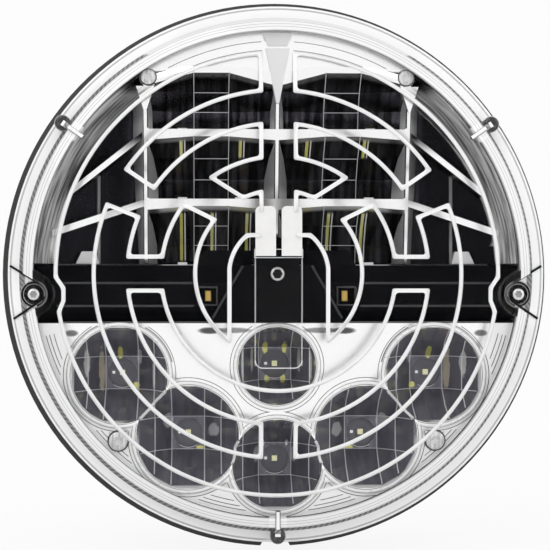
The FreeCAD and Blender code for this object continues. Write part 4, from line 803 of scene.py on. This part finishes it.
clipSet = {"y": -33.95, "half": 7.5, "high": 7.6, "low": 5.0, "line": 0.18,
           "endHalf": 7.3, "end": -29.6, "corner": 2.4,
           "cover": -32.55, "coverLow": -29.7, "coverLean": 0.0936, "coverCurve": 0.0018}


def coverFront(x, z):
    return clipSet["cover"] - clipSet["coverLean"] * (z - clipSet["coverLow"]) + clipSet["coverCurve"] * x * x


def clipLines():
    half, corner = clipSet["half"], clipSet["corner"]
    box = rectangle(-half, half, clipSet["low"], clipSet["high"])
    centre = (corner - clipSet["endHalf"], clipSet["end"] + corner)
    turns = [math.radians(180 + 9 * k) for k in range(11)]
    bend = [(centre[0] + corner * math.cos(turn), centre[1] + corner * math.sin(turn)) for turn in turns]
    bend += [(-x, z) for x, z in reversed(bend)]
    return [standing(box + box[:1], clipSet["y"]), [(x, coverFront(x, z), z) for x, z in bend]]


addBeads("clipEdges", clipLines(), clipSet["line"], lineBright)
print("clip made")


# Posts and feet on the back wall of the two wing bowls, and the tab, wedge and steps on the crown

wingSet = {"post": -57.6, "wall": -6.5, "thick": 0.6, "low": 3.6, "step": 2.2, "steps": 14,
           "foot": [(-64.9, 3.2), (-57.2, 3.2), (-58.4, 7.4), (-62.9, 7.4)],
           "footFront": -11.0, "footBack": -6.2, "soft": 0.3}
tabSet = {"tab": [(-4.9, 76.8), (4.9, 76.8), (3.2, 72.4), (-3.2, 72.4)], "tabFront": -24.3, "tabBack": -21.0,
          "wedge": [(-3.9, 71.6), (3.9, 71.6), (0.5, 54.0), (-0.5, 54.0)], "wedgeFront": -26.2, "wedgeBack": -22.5,
          "soft": 0.25, "line": 0.14, "rings": ((71.0, -25.5), (74.0, -23.9)), "arcs": ((62, 86), (94, 118))}

post = [(wingSet["post"], wingSet["wall"], wingSet["low"] + wingSet["step"] * k) for k in range(wingSet["steps"])]
addBeads("wingPosts", mirrored([post]), wingSet["thick"], lineGrey)
for side, name in ((1, "wingFootLeft"), (-1, "wingFootRight")):
    outline = [(side * x, z) for x, z in wingSet["foot"]]
    foot = plateMesh(name, outline, wingSet["footFront"], wingSet["footBack"], wingSet["soft"])
    addPlain(name, foot, tabGrey)
for name in ("tab", "wedge"):
    plate = plateMesh(name, tabSet[name], tabSet[name + "Front"], tabSet[name + "Back"], tabSet["soft"])
    addPlain("crown" + name.capitalize(), plate, tabGrey)
crownArcs = [arc((0, 0), reach, *ends, y) for reach, y in tabSet["rings"] for ends in tabSet["arcs"]]
addBeads("crownSteps", crownArcs, tabSet["line"], lineGrey)
print("wings and crown made")


# Black sheets on the position boards, open round the amber chips: a painted shade that darkens the window

windowShadeSet = {"outer": (-26.2, -17.8, -11.2, -2.8), "inner": (-23.0, -21.0, -8.75, -5.25),
           "front": -15.5, "back": -15.0}
windowShadeRings = (("outer", "front"), ("inner", "front"), ("inner", "back"), ("outer", "back"))
for side, name in ((1, "windowMaskLeft"), (-1, "windowMaskRight")):
    rings = [[(side * x, windowShadeSet[face], z) for x, z in rectangle(*windowShadeSet[ring])] for ring, face in windowShadeRings]
    addPlain(name, meshFrom(ringForm(rings, closed=True), name), nearBlack)
print("window masks made")


# Round heads painted dark as painted shade, and pale stems, on the lens's three nubs: share of the reach and depth

nubSet = {
    "ring": 83.0, "top": -26.4, "reach": 2.55, "sides": 32, "stem": 0.8,
    "profile": [(0.0, -0.35), (0.3, -0.4), (0.62, -0.75), (0.85, -0.5),
                (1.0, 0.2), (1.0, 1.2), (0.9, 1.6), (0.0, 1.6)],
    "stemPath": [(74.8, -28.45), (76, -28.15), (77, -27.9), (79, -27.9), (80.6, -27.9)],
}


def outFrom(turn, reach, y):
    return (reach * math.cos(turn), y, reach * math.sin(turn))


nubRings = [roundRing(share * nubSet["reach"], deep, sides=nubSet["sides"]) for share, deep in nubSet["profile"]]
nubPlaces = [outFrom(turn, nubSet["ring"], nubSet["top"]) for turn in nubTurns]
stems = [[outFrom(turn, *spot) for spot in nubSet["stemPath"]] for turn in nubTurns]
addRow("nubHeads", nubPlaces, meshFrom(ringForm(nubRings), "nub", smooth=True), nubShadeDark)
addBeads("nubStems", stems, nubSet["stem"], beadBright)
print("nub heads made")


# Light chips: package, phosphor square and a dot beside them, the square and dot with a painted glow, each as width,
# front, back and rounding

chipSet = {"package": (3.0, -0.45, 0.0, 0.1), "glow": (1.7, -0.8, -0.35, 0.12),
           "dot": (0.9, -0.5, 0.0, 0.18), "dotAway": 2.9}


def chipMesh(name):
    wide, front, back, soft = chipSet[name]
    return plateMesh(name, rectangle(-wide / 2, wide / 2, -wide / 2, wide / 2), front, back, soft)


chipPlaces = [(x, cupSet["board"], z) for x, z, radius in cupSet["cups"]]
dotPlaces = [(x - chipSet["dotAway"], y, z) for x, y, z in chipPlaces]
addRow("cupChipPackages", chipPlaces, chipMesh("package"), boardBlack, "lower_leds")
addRow("cupChips", chipPlaces, chipMesh("glow"), chipGlow)
addRow("cupDots", dotPlaces, chipMesh("dot"), dotWhite)
print("chips made")


# Rounded copies of the CAD solids that show sharp edges: width of the rounding and slot

softSet = {
    "outer_lens": (0.3, "clear_lens"), "center_bezel": (0.2, "bezel_black"), "front_frame": (0.35, "housing_black"),
    "rear_body": (0.5, "housing_black"), "connector_body": (0.6, "component_black"),
    "breather_vent": (0.5, "component_black"),
}
softLook = {"weld": 0.004, "flat": 0.6, "bend": 40, "smooth": 30}
traceSet = {"nodes": ("heater_circuit_outer", "heater_circuit_inner"), "round": 0.9, "steps": 4,
            "flat": 1.5, "bend": 25, "upright": 0.75}


def weldedForm(node, flat):                         # a node's shape with joined corners and whole flat faces
    form = bmesh.new()
    form.from_mesh(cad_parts[node].data)
    bmesh.ops.remove_doubles(form, verts=form.verts, dist=softLook["weld"] * mm)
    bmesh.ops.dissolve_limit(form, angle_limit=math.radians(flat), verts=form.verts, edges=form.edges)
    return form


def addSoftCopy(node, width):
    name = node.replace("_", "") + "Soft"
    worker = addPiece(name + "Work", meshFrom(weldedForm(node, softLook["flat"]), name))
    rounding = worker.modifiers.new("round", "BEVEL")
    rounding.width = width * mm
    rounding.segments = 2
    rounding.limit_method = "ANGLE"
    rounding.angle_limit = math.radians(softLook["bend"])
    mesh = shaped(worker)
    mesh.shade_smooth()
    mesh.set_sharp_from_angle(angle=math.radians(softLook["smooth"]))
    addPlain(name, mesh, nodeFinish[node], node)


def addRoundedTrace(node):                          # a trace with the upright edges at its bends rounded
    name = node.replace("_", "") + "Rounded"
    form = weldedForm(node, traceSet["flat"])
    corners = []
    for edge in form.edges:
        way = (edge.verts[0].co - edge.verts[1].co).normalized()
        bent = len(edge.link_faces) == 2 and edge.calc_face_angle() > math.radians(traceSet["bend"])
        if bent and abs(way.y) > traceSet["upright"]:
            corners.append(edge)
    bmesh.ops.bevel(form, geom=corners, offset=traceSet["round"] * mm, segments=traceSet["steps"], profile=0.5,
                    affect="EDGES", clamp_overlap=True)
    addPlain(name, meshFrom(form, name), nodeFinish[node], node)
    print(node, "corners rounded:", len(corners))


for node, (width, slot) in softSet.items():
    addSoftCopy(node, width)
for node in traceSet["nodes"]:
    addRoundedTrace(node)
print("rounded copies made")


# Studio: pale floor, white surround, soft lamps and the camera, in metres

studio = {
    "floor": -89.6 * mm, "front": -3.0, "back": 1.2, "curve": 0.8, "top": 3.0, "half": 4, "floorGlow": 0.9,
    "dim": 0.78, "lamps": [("key", (-0.9, -1.3, 1.3), 9.0), ("fill", (1.2, -1.2, 0.5), 5.0)], "lampSize": 1.6,
    "turn": -2.2, "rise": -0.5, "away": 600 * mm, "wide": 175.9 * mm, "aim": (-0.64 * mm, -20 * mm, -0.32 * mm),
}


def seenBy(start):                                  # 1 for the camera and for what mirrors and clear pieces show
    ray = start.node("ShaderNodeLightPath")
    seen = ray.sibling("Is Camera Ray").maths("MAXIMUM", ray.sibling("Is Glossy Ray"))
    return seen.maths("MAXIMUM", ray.sibling("Is Transmission Ray"))


def aimed(name, data, place, way):
    holder = bpy.data.objects.new(name, data)
    holder.location = place
    holder.rotation_euler = way.to_track_quat("-Z", "Y").to_euler()
    bpy.context.collection.objects.link(holder)
    return holder


def stageFloor():
    back, curve = studio["back"], studio["curve"]
    profile = [(studio["front"], 0.0), (back, 0.0)]
    profile += [(back + curve * math.sin(0.2 * k), curve - curve * math.cos(0.2 * k)) for k in range(1, 8)]
    profile += [(back + curve, studio["top"])]
    form = bmesh.new()
    sides = (-studio["half"], studio["half"])
    rows = [[form.verts.new((side, y, studio["floor"] + z)) for side in sides] for y, z in profile]
    for low, high in zip(rows, rows[1:]):
        form.faces.new((low[0], low[1], high[1], high[0]))
    floor = addPiece("floor", meshFrom(form, "floor", smooth=True))
    pale = Finish("paleFloor", grey(0.9), 0.9)
    glow = pale.start.node("ShaderNodeEmission", inputs={"Color": grey(1.0), "Strength": 1.0})
    shares = {0: seenBy(pale.start) * studio["floorGlow"], 1: Wire(pale.tree, pale.shader.outputs[0]), 2: glow}
    mixed = pale.start.node("ShaderNodeMixShader", inputs=shares)
    pale.tree.links.new(mixed.socket, pale.tree.nodes["Material Output"].inputs["Surface"])
    floor.data.materials.append(pale.material)


def stageWorld():
    world = bpy.data.worlds.new("studio")
    bpy.context.scene.world = world
    world.use_nodes = True
    tree = world.node_tree
    back = tree.nodes["Background"]
    back.inputs["Color"].default_value = grey(1.0)
    strength = studio["dim"] + seenBy(Wire(tree)) * (1 - studio["dim"])
    tree.links.new(strength.socket, back.inputs["Strength"])


def stageLamps():
    for name, place, power in studio["lamps"]:
        lamp = bpy.data.lights.new(name, "AREA")
        lamp.shape = "DISK"
        lamp.size = studio["lampSize"]
        lamp.energy = power
        aimed(name, lamp, place, -Vector(place))


def stageCamera():
    turn, rise = math.radians(studio["turn"]), math.radians(studio["rise"])
    way = Vector((math.sin(turn) * math.cos(rise), -math.cos(turn) * math.cos(rise), math.sin(rise)))
    camera = bpy.data.cameras.new("camera")
    camera.sensor_fit = "HORIZONTAL"
    camera.angle = 2 * math.atan(studio["wide"] / 2 / studio["away"])
    camera.clip_start = 0.01
    bpy.context.scene.camera = aimed("camera", camera, Vector(studio["aim"]) + way * studio["away"], -way)


stageFloor()
stageWorld()
stageLamps()
stageCamera()
bpy.context.scene.view_settings.view_transform = "Standard"
print("studio set")
